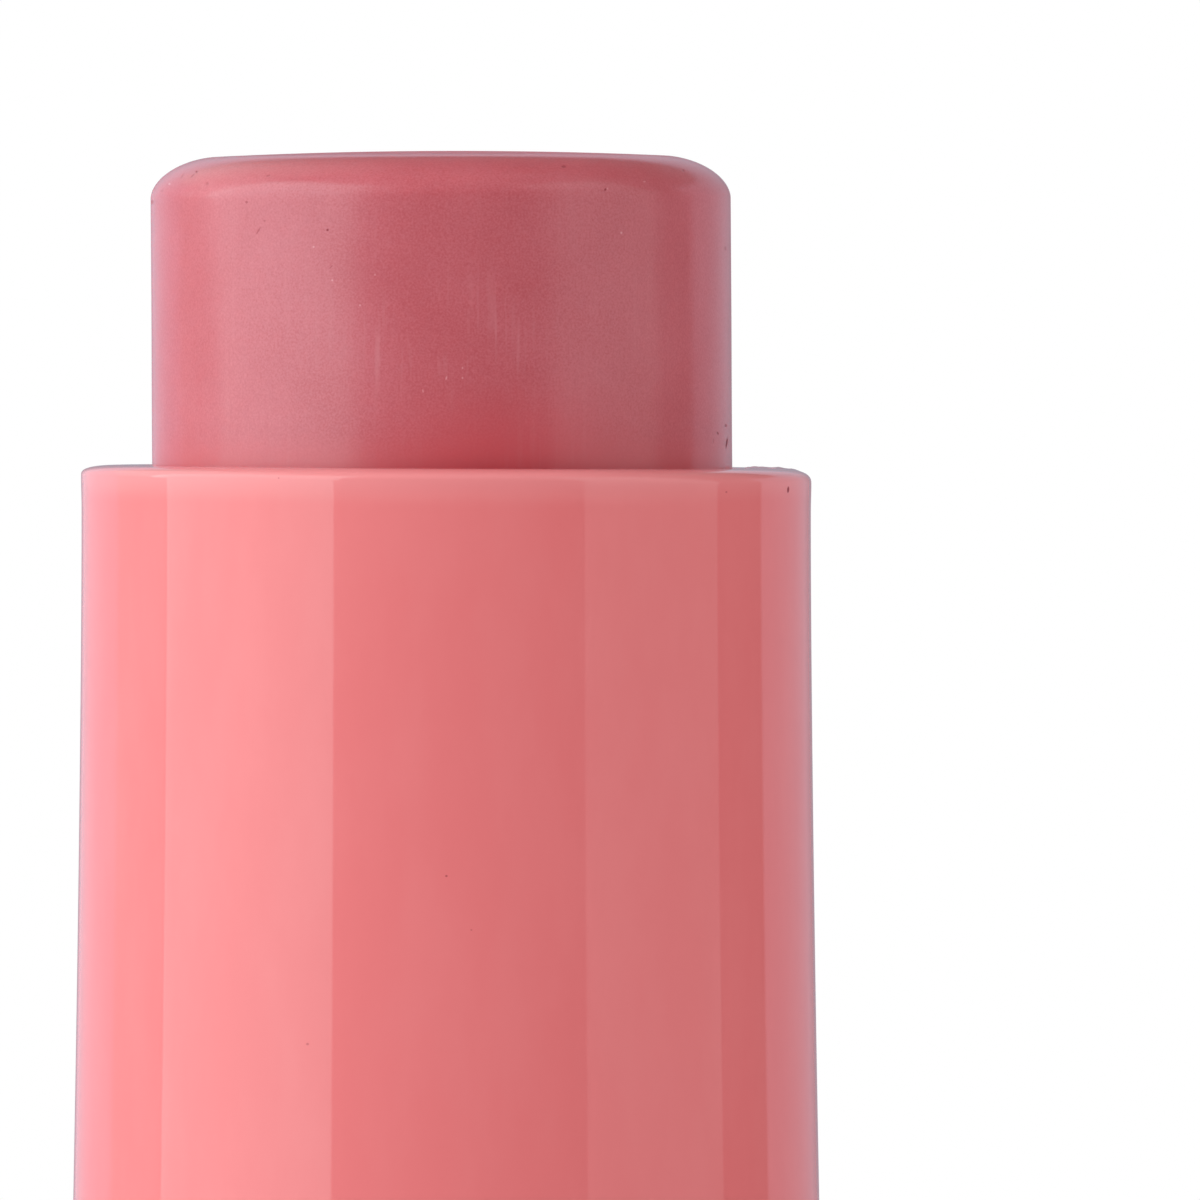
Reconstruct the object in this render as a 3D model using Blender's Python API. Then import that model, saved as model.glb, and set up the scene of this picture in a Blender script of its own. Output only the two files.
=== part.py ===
"""A twist-up blush stick, made as the separate moulded pieces of the real one.

Run it with blender --background --python part.py, or from Blender's text editor. Lengths are in
metres, +Z is up, and the origin is the centre of the face that the stick stands on. The blush stands
out of its barrel as it does in use.

The dial at the foot turns a two-start, left-hand screw. The carrier on that screw can't turn, because
its keys run in straight slots of the inner tube, so it climbs and lifts the blush as the dial turns by
the right-hand rule about +Z.
"""

import math

import bmesh
import bpy
from mathutils import Matrix, Vector

MM = 0.001

# Heights of the case, from the face that it stands on
DIAL_HEIGHT = 9.0 * MM
SEAM = 0.3 * MM
SLEEVE_HEIGHT = 16.7 * MM
BARREL_SHOWN = 24.0 * MM

# Where the blush stands: above the rim in use, and below the rim when it is wound down
BLUSH_SHOWN = 8.7 * MM
BLUSH_SUNK = 0.7 * MM

# Clearances between the pieces
SEAT_GAP = 0.2 * MM
PRESS_GAP = 0.15 * MM
RUNNING_GAP = 0.2 * MM
THREAD_GAP = 0.25 * MM
STOP_GAP = 0.6 * MM
RIM_GAP = 0.28 * MM
SCREW_GAP = 0.6 * MM
OVERRUN = 1.0 * MM
SINK_IN = 0.3 * MM

# Blush
BLUSH_RADIUS = 8.0 * MM
BLUSH_TAPER = 0.07 * MM
BLUSH_SHOULDER_WIDTH = 1.9 * MM
BLUSH_SHOULDER_DROP = 1.16 * MM
BLUSH_CROWN = 0.14 * MM
BLUSH_CAP = 3.7 * MM
BLUSH_FOOT_ROUND = 0.3 * MM

# Carrier: a cup above its floor, a skirt and the nut below it
CUP_WALL = 0.7 * MM
CUP_DEPTH = 5.5 * MM
CARRIER_FLOOR = 1.0 * MM
NUT_LENGTH = 3.9 * MM
NUT_WALL = 1.35 * MM
KEY_COUNT = 4
KEY_WIDTH = 1.3 * MM
KEY_HEIGHT = 3.0 * MM
KEY_INSET = 0.3 * MM

# Screw
THREAD_LEAD = 6.0 * MM
THREAD_STARTS = 2
THREAD_CREST = 3.0 * MM
THREAD_DEPTH = 0.7 * MM
THREAD_CHAMFER = 0.6 * MM
THREAD_AT_TOP = 3.0 * MM
COLLAR_RADIUS = 5.0 * MM
COLLAR_HEIGHT = 1.4 * MM
JOURNAL_RADIUS = 3.4 * MM
FOOT_WIDTH = 4.4 * MM
BARB_WIDTH = 5.3 * MM
BARB_TIP_WIDTH = 3.6 * MM
BARB_HEIGHT = 1.3 * MM
SLIT_WIDTH = 0.7 * MM
SLIT_HEIGHT = 4.4 * MM

# Inner tube
TUBE_WALL = 0.8 * MM
TUBE_FLOOR = 1.2 * MM
TUBE_SKIRT = 2.0 * MM
SLOT_END_GAP = 0.4 * MM
LUG_COUNT = 4
LUG_WIDTH = 2.0 * MM
LUG_HEIGHT = 1.5 * MM

# Barrel: a slightly waisted tube with an in-turned rim
BARREL_WALL = 0.9 * MM
RIM_FLARE = 0.03 * MM
RIM_ROUND = 0.4 * MM
RIM_INNER_ROUND = 0.25 * MM
RIM_THICKNESS = 1.2 * MM
WAIST_TOP = 2.4 * MM
WAIST_BOTTOM = 4.8 * MM
FOOT_FLARE = 0.31 * MM
BARREL_FOOT_ROUND = 0.2 * MM
CAP_BEAD_ABOVE = 1.8 * MM
CAP_BEAD_RISE = 0.15 * MM
CAP_BEAD_HALF = 0.55 * MM

# Snap beads and their grooves, on the barrel's foot and on the hub
SNAP_RISE = 0.12 * MM
SNAP_HALF = 0.45 * MM

# Sleeve
SLEEVE_WALL = 1.24 * MM
SLEEVE_LIP = 0.9 * MM
SLEEVE_ROUND = 0.45 * MM
SLEEVE_INNER_ROUND = 0.15 * MM
SEAM_ROUND = 0.3 * MM

# Dial shell
DIAL_WALL = 1.35 * MM
DIAL_FLOOR = 1.1 * MM
DIAL_ROUND = 1.1 * MM
FLUTE_COUNT = 36
FLUTE_DEPTH = 0.28 * MM
FLUTE_RAMP = 0.5 * MM
FLUTES_FROM_BOTTOM = 2.0 * MM
FLUTES_FROM_TOP = 1.3 * MM
FIN_COUNT = 4
FIN_WIDTH = 1.2 * MM
FIN_HEIGHT = 3.0 * MM
SNAP_FROM_TOP = 1.1 * MM

# Dial hub
HUB_WEB = 1.8 * MM
HUB_ABOVE_WEB = 1.0 * MM
HUB_TOP_GAP = 0.4 * MM
HUB_ROUND = 0.3 * MM
BOSS_GAP = 0.8 * MM
BOSS_WALL = 1.0 * MM
SOCKET_WALL = 1.0 * MM
SEAL_THICKNESS = 0.84 * MM
SEAL_SIDE_GAP = 0.08 * MM
SEAL_GROOVE_GAP = 0.16 * MM

# Ballast and label
BALLAST_HOLE = 4.2 * MM
BALLAST_ROUND = 0.3 * MM
LABEL_THICKNESS = 0.25 * MM
LABEL_RECESS = 0.5 * MM
LABEL_GLUE_GAP = 0.1 * MM
LABEL_RADIUS = 8.6 * MM

# Mesh fineness, and the largest part of a wall's end that a rounding may take
SHOWN_STEPS = 48
HIDDEN_STEPS = 32
SCREW_POINTS = 16
SCREW_RINGS_PER_TURN = 12
SEAL_SIDES = 8
ARC_STEPS = 3
CROWN_STEPS = 3
SHOULDER_STEPS = 7
FLANK_STEEPNESS_SHARE = 1.6
MOST_ROUNDING_SHARE = 0.45
MERGE_DISTANCE = 0.0005 * MM
SHARP_ANGLE = math.radians(35)

# Radii of the nested walls, from the blush outwards
TUBE_INNER = BLUSH_RADIUS + RUNNING_GAP
TUBE_OUTER = TUBE_INNER + TUBE_WALL
BARREL_INNER = TUBE_OUTER + PRESS_GAP
WAIST_RADIUS = BARREL_INNER + BARREL_WALL
RIM_RADIUS = WAIST_RADIUS + RIM_FLARE
BARREL_FOOT_RADIUS = WAIST_RADIUS + FOOT_FLARE
SLEEVE_INNER = BARREL_FOOT_RADIUS + PRESS_GAP
GRIP_RADIUS = SLEEVE_INNER + SLEEVE_WALL
DIAL_INNER = GRIP_RADIUS - DIAL_WALL
HUB_OUTER = DIAL_INNER - RUNNING_GAP
HUB_INNER = TUBE_OUTER + RUNNING_GAP
BOSS_RADIUS = TUBE_INNER - BOSS_GAP
SEAL_RADIUS = TUBE_INNER - SEAL_SIDE_GAP - SEAL_THICKNESS / 2
SEAL_GROOVE = SEAL_RADIUS - SEAL_THICKNESS / 2 - SEAL_GROOVE_GAP
SOCKET_WIDTH = FOOT_WIDTH + 2 * PRESS_GAP
SOCKET_OUTER = SOCKET_WIDTH / math.sqrt(2) + SOCKET_WALL
NUT_RADIUS = THREAD_CREST + THREAD_GAP + NUT_WALL
CUP_INNER = BLUSH_RADIUS - CUP_WALL

# Levels, from the foot up
DIAL_FLOOR_TOP = LABEL_RECESS + DIAL_FLOOR
SLEEVE_BOTTOM = DIAL_HEIGHT + SEAM
SLEEVE_TOP = SLEEVE_BOTTOM + SLEEVE_HEIGHT
RIM_TOP = SLEEVE_TOP + BARREL_SHOWN
TUBE_BOTTOM = SLEEVE_BOTTOM + SLEEVE_LIP + SEAT_GAP
TUBE_FLOOR_TOP = TUBE_BOTTOM + TUBE_FLOOR
TUBE_TOP = RIM_TOP - RIM_THICKNESS - SEAT_GAP
BARREL_BOTTOM = TUBE_FLOOR_TOP + SEAT_GAP
COLLAR_BOTTOM = TUBE_FLOOR_TOP + SEAT_GAP
COLLAR_TOP = COLLAR_BOTTOM + COLLAR_HEIGHT
BLUSH_TOP = RIM_TOP + BLUSH_SHOWN
SCREW_TOP = RIM_TOP - BLUSH_SUNK - BLUSH_CAP - SCREW_GAP
TRAVEL_DOWN = BLUSH_SHOWN + BLUSH_SUNK
CARRIER_BOTTOM = COLLAR_TOP + STOP_GAP + TRAVEL_DOWN
TRAVEL_UP = SCREW_TOP - THREAD_AT_TOP - CARRIER_BOTTOM
BLUSH_BOTTOM = CARRIER_BOTTOM + NUT_LENGTH + SEAT_GAP
HUB_BOTTOM = DIAL_FLOOR_TOP + SEAT_GAP
HUB_WEB_TOP = TUBE_BOTTOM - TUBE_SKIRT - HUB_ABOVE_WEB
HUB_WEB_BOTTOM = HUB_WEB_TOP - HUB_WEB
HUB_BOSS_TOP = TUBE_BOTTOM - RUNNING_GAP
SEAL_LEVEL = TUBE_BOTTOM - TUBE_SKIRT / 2
SNAP_LEVEL = DIAL_HEIGHT - SNAP_FROM_TOP
SLEEVE_SNAP_LEVEL = (BARREL_BOTTOM + SLEEVE_TOP) / 2


def linear_colour(hex_colour):
    """The linear colour with full alpha of an sRGB hex value such as e67e82."""
    shares = [int(hex_colour[start : start + 2], 16) / 255 for start in (0, 2, 4)]
    linear = [s / 12.92 if s <= 0.04045 else ((s + 0.055) / 1.055) ** 2.4 for s in shares]
    return (*linear, 1.0)


def finish(name, hex_colour, roughness, metallic=0.0):
    """A plain material of one colour."""
    made = bpy.data.materials.new(name)
    made.use_nodes = True
    shader = made.node_tree.nodes["Principled BSDF"]
    shader.inputs["Base Color"].default_value = linear_colour(hex_colour)
    shader.inputs["Roughness"].default_value = roughness
    shader.inputs["Metallic"].default_value = metallic
    made.diffuse_color = linear_colour(hex_colour)
    return made


def make_object(name, shape, parent, level, material=None):
    """An object of a bmesh, which is freed, standing at a level on the axis of its parent."""
    bmesh.ops.recalc_face_normals(shape, faces=shape.faces)
    mesh = bpy.data.meshes.new(name)
    shape.to_mesh(mesh)
    shape.free()
    mesh.shade_smooth()
    mesh.set_sharp_from_angle(angle=SHARP_ANGLE)
    made = bpy.data.objects.new(name, mesh)
    bpy.context.scene.collection.objects.link(made)
    made.parent = parent
    made.location.z = level
    if material:
        mesh.materials.append(material)
    return made


def joint_axis(name, level):
    """An empty on the stick's axis, which carries the pieces of one moving group."""
    axis = bpy.data.objects.new(name, None)
    bpy.context.scene.collection.objects.link(axis)
    axis.location.z = level
    return axis


def rounded_corner(before, corner, after, radius):
    """The points of an arc that rounds one corner of an outline, as large as its shorter side allows."""
    arriving = corner - before
    leaving = after - corner
    side = min(arriving.length, leaving.length)
    arriving.normalize()
    leaving.normalize()
    turn = math.atan2(arriving.x * leaving.y - arriving.y * leaving.x, arriving.dot(leaving))
    half_turn = math.tan(abs(turn) / 2)
    radius = min(radius, MOST_ROUNDING_SHARE * side / half_turn)
    start = corner - arriving * (radius * half_turn)
    inward = Vector((-arriving.y, arriving.x)) * math.copysign(radius, turn)
    centre = start + inward
    return [centre + Matrix.Rotation(turn * step / ARC_STEPS, 2) @ -inward for step in range(ARC_STEPS + 1)]


def outline(*corners):
    """The points of an outline through (radius, height) or (radius, height, rounding) corners."""
    points = []
    for index, corner in enumerate(corners):
        place = Vector(corner[:2])
        if len(corner) == 3:
            before = Vector(corners[index - 1][:2])
            after = Vector(corners[(index + 1) % len(corners)][:2])
            points += rounded_corner(before, place, after, corner[2])
        else:
            points.append(place)
    return points


def ridge(radius, rise, middle, half):
    """Three corners of a bead round a wall, from below, or of a groove where rise is negative."""
    return [(radius, middle - half), (radius + rise, middle), (radius, middle + half)]


def turned(points, steps):
    """A solid turned about Z from an outline of (radius, height) points, closed or ending on the axis."""
    shape = bmesh.new()
    corners = [shape.verts.new((radius, 0, height)) for radius, height in points]
    edges = [shape.edges.new(pair) for pair in zip(corners, corners[1:])]
    if points[0][0] > 0:
        edges.append(shape.edges.new((corners[-1], corners[0])))
    bmesh.ops.spin(
        shape,
        geom=corners + edges,
        cent=(0, 0, 0),
        axis=(0, 0, 1),
        angle=math.tau,
        steps=steps,
        use_merge=True,
    )
    bmesh.ops.remove_doubles(shape, verts=shape.verts, dist=MERGE_DISTANCE)
    return shape


def spokes(count, first_angle, inner, outer, width, bottom, top):
    """Equal blocks set round the axis, each between two radii and between two levels."""
    shape = bmesh.new()
    size = Matrix.Diagonal((outer - inner, width, top - bottom, 1))
    middle = Matrix.Translation(((inner + outer) / 2, 0, (bottom + top) / 2))
    for index in range(count):
        turn = Matrix.Rotation(first_angle + math.tau * index / count, 4, "Z")
        bmesh.ops.create_cube(shape, size=1, matrix=turn @ middle @ size)
    return shape


def block(width, depth, bottom, top):
    """A rectangular block centred on the axis."""
    shape = bmesh.new()
    size = Matrix.Diagonal((width, depth, top - bottom, 1))
    bmesh.ops.create_cube(shape, size=1, matrix=Matrix.Translation((0, 0, (bottom + top) / 2)) @ size)
    return shape


def circle(radius):
    """The section of a round bar: its radius at any angle."""
    return lambda angle: radius


def square(width):
    """The section of a square bar: its radius at any angle."""
    return lambda angle: width / 2 / max(abs(math.cos(angle)), abs(math.sin(angle)))


def thread(gap, height):
    """The section of the screw at a height, or of its nut where there is a gap: its radius at any angle."""
    middle = THREAD_CREST - THREAD_DEPTH / 2 + gap
    turned_by = -math.tau * height / THREAD_LEAD

    def radius_at(angle):
        wave = FLANK_STEEPNESS_SHARE * math.cos(THREAD_STARTS * (angle - turned_by))
        return middle + max(-1, min(1, wave)) * THREAD_DEPTH / 2

    return radius_at


def section(radius_at, height, first_angle=0.0):
    """The points of one section of a bar."""
    angles = [first_angle + math.tau * index / SCREW_POINTS for index in range(SCREW_POINTS)]
    return [(radius_at(a) * math.cos(a), radius_at(a) * math.sin(a), height) for a in angles]


def thread_sections(gap, bottom, top):
    """The sections of a length of thread, each turned on from the last by the same small angle."""
    count = math.ceil((top - bottom) / THREAD_LEAD * SCREW_RINGS_PER_TURN)
    heights = [bottom + (top - bottom) * index / count for index in range(count + 1)]
    return [section(thread(gap, h), h, -math.tau * h / THREAD_LEAD) for h in heights]


def lofted(sections):
    """A solid through sections of equally many points, given from the bottom up."""
    shape = bmesh.new()
    rings = [[shape.verts.new(point) for point in points] for points in sections]
    for lower, upper in zip(rings, rings[1:]):
        for index in range(SCREW_POINTS):
            following = (index + 1) % SCREW_POINTS
            shape.faces.new((lower[index], lower[following], upper[following]))
            shape.faces.new((lower[index], upper[following], upper[index]))
    shape.faces.new(reversed(rings[0]))
    shape.faces.new(rings[-1])
    return shape


def combine(piece, operation, name, shape):
    """Add a shape to a piece, or cut it out of the piece, with an exact Boolean."""
    tool = make_object(name, shape, piece.parent, piece.location.z)
    tool.hide_render = True
    tool.display_type = "WIRE"
    change = piece.modifiers.new(name, "BOOLEAN")
    change.operation = operation
    change.solver = "EXACT"
    change.object = tool


def build_label(axis, material):
    """The plain round label in the recess under the dial."""
    points = outline((0, 0), (LABEL_RADIUS, 0), (LABEL_RADIUS, LABEL_THICKNESS), (0, LABEL_THICKNESS))
    level = LABEL_RECESS - LABEL_GLUE_GAP - LABEL_THICKNESS
    return make_object("shade_label", turned(points, SHOWN_STEPS), axis, level, material)


def press_flutes(shape, bottom, top):
    """Push every second column of a turned wall's outer points inwards, between two levels."""
    column = math.pi / FLUTE_COUNT
    for vert in shape.verts:
        radius = vert.co.xy.length
        index = round(math.atan2(vert.co.y, vert.co.x) / column)
        if index % 2 and radius > DIAL_INNER + FLUTE_DEPTH and bottom < vert.co.z < top:
            vert.co.xy *= (radius - FLUTE_DEPTH) / radius


def build_dial_shell(axis, material):
    """The fluted cup at the foot, with fins inside that drive the hub."""
    recess = LABEL_RADIUS + SEAT_GAP
    flutes_top = DIAL_HEIGHT - FLUTES_FROM_TOP
    points = outline(
        (0, LABEL_RECESS),
        (recess, LABEL_RECESS),
        (recess, 0),
        (GRIP_RADIUS, 0, DIAL_ROUND),
        (GRIP_RADIUS, FLUTES_FROM_BOTTOM),
        (GRIP_RADIUS, FLUTES_FROM_BOTTOM + FLUTE_RAMP),
        (GRIP_RADIUS, flutes_top - FLUTE_RAMP),
        (GRIP_RADIUS, flutes_top),
        (GRIP_RADIUS, DIAL_HEIGHT, SEAM_ROUND),
        (DIAL_INNER, DIAL_HEIGHT),
        *reversed(ridge(DIAL_INNER, SNAP_RISE, SNAP_LEVEL, SNAP_HALF)),
        (DIAL_INNER, DIAL_FLOOR_TOP),
        (0, DIAL_FLOOR_TOP),
    )
    shape = turned(points, 2 * FLUTE_COUNT)
    press_flutes(shape, FLUTES_FROM_BOTTOM + FLUTE_RAMP / 2, flutes_top - FLUTE_RAMP / 2)
    shell = make_object("dial_shell", shape, axis, 0, material)
    fins = spokes(
        FIN_COUNT,
        0,
        HUB_INNER + PRESS_GAP,
        DIAL_INNER + SINK_IN,
        FIN_WIDTH,
        DIAL_FLOOR_TOP - SINK_IN,
        DIAL_FLOOR_TOP + FIN_HEIGHT,
    )
    combine(shell, "UNION", "dial_fins", fins)
    return shell


def build_ballast(axis, material):
    """The steel ring that fills the hub below its web."""
    outer = HUB_INNER - RUNNING_GAP
    height = HUB_WEB_BOTTOM - SEAT_GAP - HUB_BOTTOM
    points = outline(
        (BALLAST_HOLE, 0, BALLAST_ROUND),
        (outer, 0, BALLAST_ROUND),
        (outer, height, BALLAST_ROUND),
        (BALLAST_HOLE, height, BALLAST_ROUND),
    )
    return make_object("ballast_ring", turned(points, HIDDEN_STEPS), axis, HUB_BOTTOM, material)


def build_hub(axis, material):
    """The inner cup of the dial, with the seal's groove on its boss and a square socket for the screw."""
    web_bottom = HUB_WEB_BOTTOM - HUB_BOTTOM
    web_top = HUB_WEB_TOP - HUB_BOTTOM
    boss_top = HUB_BOSS_TOP - HUB_BOTTOM
    wall_top = SLEEVE_BOTTOM - HUB_TOP_GAP - HUB_BOTTOM
    groove_middle = SEAL_LEVEL - HUB_BOTTOM
    groove_half = SEAL_THICKNESS / 2 + SEAL_SIDE_GAP
    pocket = BOSS_RADIUS - BOSS_WALL
    points = outline(
        (0, web_bottom),
        (HUB_INNER, web_bottom),
        (HUB_INNER, 0),
        (HUB_OUTER, 0, HUB_ROUND),
        *ridge(HUB_OUTER, SNAP_RISE, SNAP_LEVEL - HUB_BOTTOM, SNAP_HALF - PRESS_GAP),
        (HUB_OUTER, wall_top),
        (HUB_INNER, wall_top),
        (HUB_INNER, web_top),
        (BOSS_RADIUS, web_top),
        (BOSS_RADIUS, groove_middle - groove_half),
        (SEAL_GROOVE, groove_middle - groove_half),
        (SEAL_GROOVE, groove_middle + groove_half),
        (BOSS_RADIUS, groove_middle + groove_half),
        (BOSS_RADIUS, boss_top),
        (pocket, boss_top),
        (pocket, web_top),
        (SOCKET_OUTER, web_top),
        (SOCKET_OUTER, boss_top),
        (0, boss_top),
    )
    hub = make_object("dial_hub", turned(points, HIDDEN_STEPS), axis, HUB_BOTTOM, material)
    socket = block(SOCKET_WIDTH, SOCKET_WIDTH, web_bottom - OVERRUN, boss_top + OVERRUN)
    combine(hub, "DIFFERENCE", "hub_socket", socket)
    slots = spokes(
        FIN_COUNT,
        0,
        HUB_INNER - SINK_IN,
        HUB_OUTER + OVERRUN,
        FIN_WIDTH + 2 * PRESS_GAP,
        -OVERRUN,
        DIAL_FLOOR_TOP + FIN_HEIGHT + SEAT_GAP - HUB_BOTTOM,
    )
    combine(hub, "DIFFERENCE", "hub_fin_slots", slots)
    return hub


def build_seal(axis, material):
    """The rubber ring in the hub's groove, which drags lightly on the inner tube's skirt."""
    half = SEAL_THICKNESS / 2
    angles = [math.tau * index / SEAL_SIDES for index in range(SEAL_SIDES)]
    points = [(SEAL_RADIUS + half * math.cos(a), half * math.sin(a)) for a in angles]
    return make_object("o_ring", turned(points, HIDDEN_STEPS), axis, SEAL_LEVEL, material)


def build_spindle(axis, material):
    """The screw, with a collar on the tube's floor, a journal through it and a square foot in the hub."""
    foot_top = HUB_BOSS_TOP + SEAT_GAP - COLLAR_BOTTOM
    foot_bottom = HUB_WEB_BOTTOM - SEAT_GAP - COLLAR_BOTTOM
    tip = foot_bottom - BARB_HEIGHT
    top = SCREW_TOP - COLLAR_BOTTOM
    lower = [
        section(square(BARB_TIP_WIDTH), tip),
        section(square(BARB_WIDTH), foot_bottom),
        section(square(FOOT_WIDTH), foot_bottom),
        section(square(FOOT_WIDTH), foot_top),
        section(circle(JOURNAL_RADIUS), foot_top),
        section(circle(JOURNAL_RADIUS), 0),
        section(circle(COLLAR_RADIUS), 0),
        section(circle(COLLAR_RADIUS), COLLAR_HEIGHT),
    ]
    screw = thread_sections(0, COLLAR_HEIGHT, top - THREAD_CHAMFER)
    point = section(circle(THREAD_CREST - THREAD_DEPTH - THREAD_CHAMFER), top, -math.tau * top / THREAD_LEAD)
    spindle = make_object("spindle", lofted([*lower, *screw, point]), axis, COLLAR_BOTTOM, material)
    slit = block(BARB_WIDTH + OVERRUN, SLIT_WIDTH, tip - OVERRUN, tip + SLIT_HEIGHT)
    combine(spindle, "DIFFERENCE", "spindle_slit", slit)
    return spindle


def build_inner_tube(material):
    """The guide tube: a floor for the screw, slots for the carrier's keys, and lugs for the barrel."""
    hole = JOURNAL_RADIUS + RUNNING_GAP
    top = TUBE_TOP - TUBE_BOTTOM
    points = outline(
        (hole, 0),
        (TUBE_INNER, 0),
        (TUBE_INNER, -TUBE_SKIRT),
        (TUBE_OUTER, -TUBE_SKIRT),
        (TUBE_OUTER, 0),
        (BARREL_FOOT_RADIUS, 0),
        (BARREL_FOOT_RADIUS, TUBE_FLOOR),
        (TUBE_OUTER, TUBE_FLOOR),
        (TUBE_OUTER, top),
        (TUBE_INNER, top),
        (TUBE_INNER, TUBE_FLOOR),
        (hole, TUBE_FLOOR),
    )
    tube = make_object("inner_tube", turned(points, HIDDEN_STEPS), None, TUBE_BOTTOM, material)
    key_bottom = CARRIER_BOTTOM + KEY_INSET - TUBE_BOTTOM
    slots = spokes(
        KEY_COUNT,
        0,
        TUBE_INNER - OVERRUN,
        TUBE_OUTER + OVERRUN,
        KEY_WIDTH + 2 * PRESS_GAP,
        key_bottom - TRAVEL_DOWN - SLOT_END_GAP,
        key_bottom + KEY_HEIGHT + TRAVEL_UP + SLOT_END_GAP,
    )
    combine(tube, "DIFFERENCE", "tube_slots", slots)
    lugs = spokes(
        LUG_COUNT,
        math.pi / LUG_COUNT,
        TUBE_OUTER - SINK_IN,
        BARREL_FOOT_RADIUS - PRESS_GAP,
        LUG_WIDTH,
        TUBE_FLOOR - SINK_IN,
        TUBE_FLOOR + LUG_HEIGHT,
    )
    combine(tube, "UNION", "tube_lugs", lugs)
    return tube


def barrel_radius(level):
    """The barrel's outer radius at a level between its waist and the sleeve."""
    waist = RIM_TOP - WAIST_BOTTOM
    return WAIST_RADIUS + FOOT_FLARE * (waist - level) / (waist - SLEEVE_TOP)


def build_barrel(material):
    """The glossy tube that shows, waisted below its rim and snapped into the sleeve at its foot."""
    sleeve_top = SLEEVE_TOP - BARREL_BOTTOM
    rim = RIM_TOP - BARREL_BOTTOM
    lip = BLUSH_RADIUS + RIM_GAP
    bead_level = SLEEVE_TOP + CAP_BEAD_ABOVE
    points = outline(
        (BARREL_INNER, 0),
        (BARREL_FOOT_RADIUS, 0, BARREL_FOOT_ROUND),
        *ridge(BARREL_FOOT_RADIUS, -SNAP_RISE, SLEEVE_SNAP_LEVEL - BARREL_BOTTOM, SNAP_HALF),
        (BARREL_FOOT_RADIUS, sleeve_top),
        *ridge(barrel_radius(bead_level), CAP_BEAD_RISE, bead_level - BARREL_BOTTOM, CAP_BEAD_HALF),
        (WAIST_RADIUS, rim - WAIST_BOTTOM),
        (WAIST_RADIUS, rim - WAIST_TOP),
        (RIM_RADIUS, rim, RIM_ROUND),
        (lip, rim, RIM_INNER_ROUND),
        (lip, rim - RIM_THICKNESS),
        (BARREL_INNER, rim - RIM_THICKNESS),
    )
    barrel = make_object("barrel", turned(points, SHOWN_STEPS), None, BARREL_BOTTOM, material)
    notches = spokes(
        LUG_COUNT,
        math.pi / LUG_COUNT,
        BARREL_INNER - OVERRUN,
        BARREL_FOOT_RADIUS + OVERRUN,
        LUG_WIDTH + 2 * PRESS_GAP,
        -OVERRUN,
        TUBE_FLOOR_TOP + LUG_HEIGHT + SEAT_GAP - BARREL_BOTTOM,
    )
    combine(barrel, "DIFFERENCE", "barrel_notches", notches)
    return barrel


def build_sleeve(material):
    """The grip over the barrel's foot. Its lip carries the inner tube and its top face stops the cap."""
    lip = TUBE_OUTER + PRESS_GAP
    snap_level = SLEEVE_SNAP_LEVEL - SLEEVE_BOTTOM
    points = outline(
        (lip, 0),
        (GRIP_RADIUS, 0, SEAM_ROUND),
        (GRIP_RADIUS, SLEEVE_HEIGHT, SLEEVE_ROUND),
        (SLEEVE_INNER, SLEEVE_HEIGHT, SLEEVE_INNER_ROUND),
        *reversed(ridge(SLEEVE_INNER, -SNAP_RISE, snap_level, SNAP_HALF - PRESS_GAP)),
        (SLEEVE_INNER, SLEEVE_LIP),
        (lip, SLEEVE_LIP),
    )
    return make_object("sleeve", turned(points, SHOWN_STEPS), None, SLEEVE_BOTTOM, material)


def build_carrier(axis, material):
    """The carrier: a cup for the blush, the nut under its floor and keys on its skirt."""
    floor_bottom = NUT_LENGTH - CARRIER_FLOOR
    points = outline(
        (0, 0),
        (NUT_RADIUS, 0),
        (NUT_RADIUS, floor_bottom),
        (CUP_INNER, floor_bottom),
        (CUP_INNER, 0),
        (BLUSH_RADIUS, 0),
        (BLUSH_RADIUS, NUT_LENGTH + CUP_DEPTH),
        (CUP_INNER, NUT_LENGTH + CUP_DEPTH),
        (CUP_INNER, NUT_LENGTH),
        (0, NUT_LENGTH),
    )
    carrier = make_object("carrier_cup", turned(points, HIDDEN_STEPS), axis, 0, material)
    keys = spokes(
        KEY_COUNT,
        0,
        BLUSH_RADIUS - SINK_IN,
        TUBE_OUTER - PRESS_GAP,
        KEY_WIDTH,
        KEY_INSET,
        KEY_INSET + KEY_HEIGHT,
    )
    combine(carrier, "UNION", "carrier_keys", keys)
    tap_shift = CARRIER_BOTTOM - COLLAR_BOTTOM
    tap = lofted(thread_sections(THREAD_GAP, tap_shift - OVERRUN, tap_shift + NUT_LENGTH + OVERRUN))
    bmesh.ops.translate(tap, verts=tap.verts, vec=(0, 0, -tap_shift))
    combine(carrier, "DIFFERENCE", "carrier_tap", tap)
    return carrier


def crown_points(top):
    """The blush's top, from the axis to its straight side: a low dome that runs into an oval shoulder."""
    width = BLUSH_SHOULDER_WIDTH
    drop = BLUSH_SHOULDER_DROP
    edge = BLUSH_RADIUS - width
    dome = [(edge * s, -BLUSH_CROWN * s * s) for s in (index / CROWN_STEPS for index in range(CROWN_STEPS))]
    first = math.pi / 2 - math.atan(2 * BLUSH_CROWN / edge * width / drop)
    angles = [first * (1 - index / SHOULDER_STEPS) for index in range(SHOULDER_STEPS + 1)]
    centre = -BLUSH_CROWN - drop
    shoulder = [(edge + width * math.cos(a), centre + drop * math.sin(a)) for a in angles]
    return [(radius, top + height) for radius, height in (*dome, *shoulder)]


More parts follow.
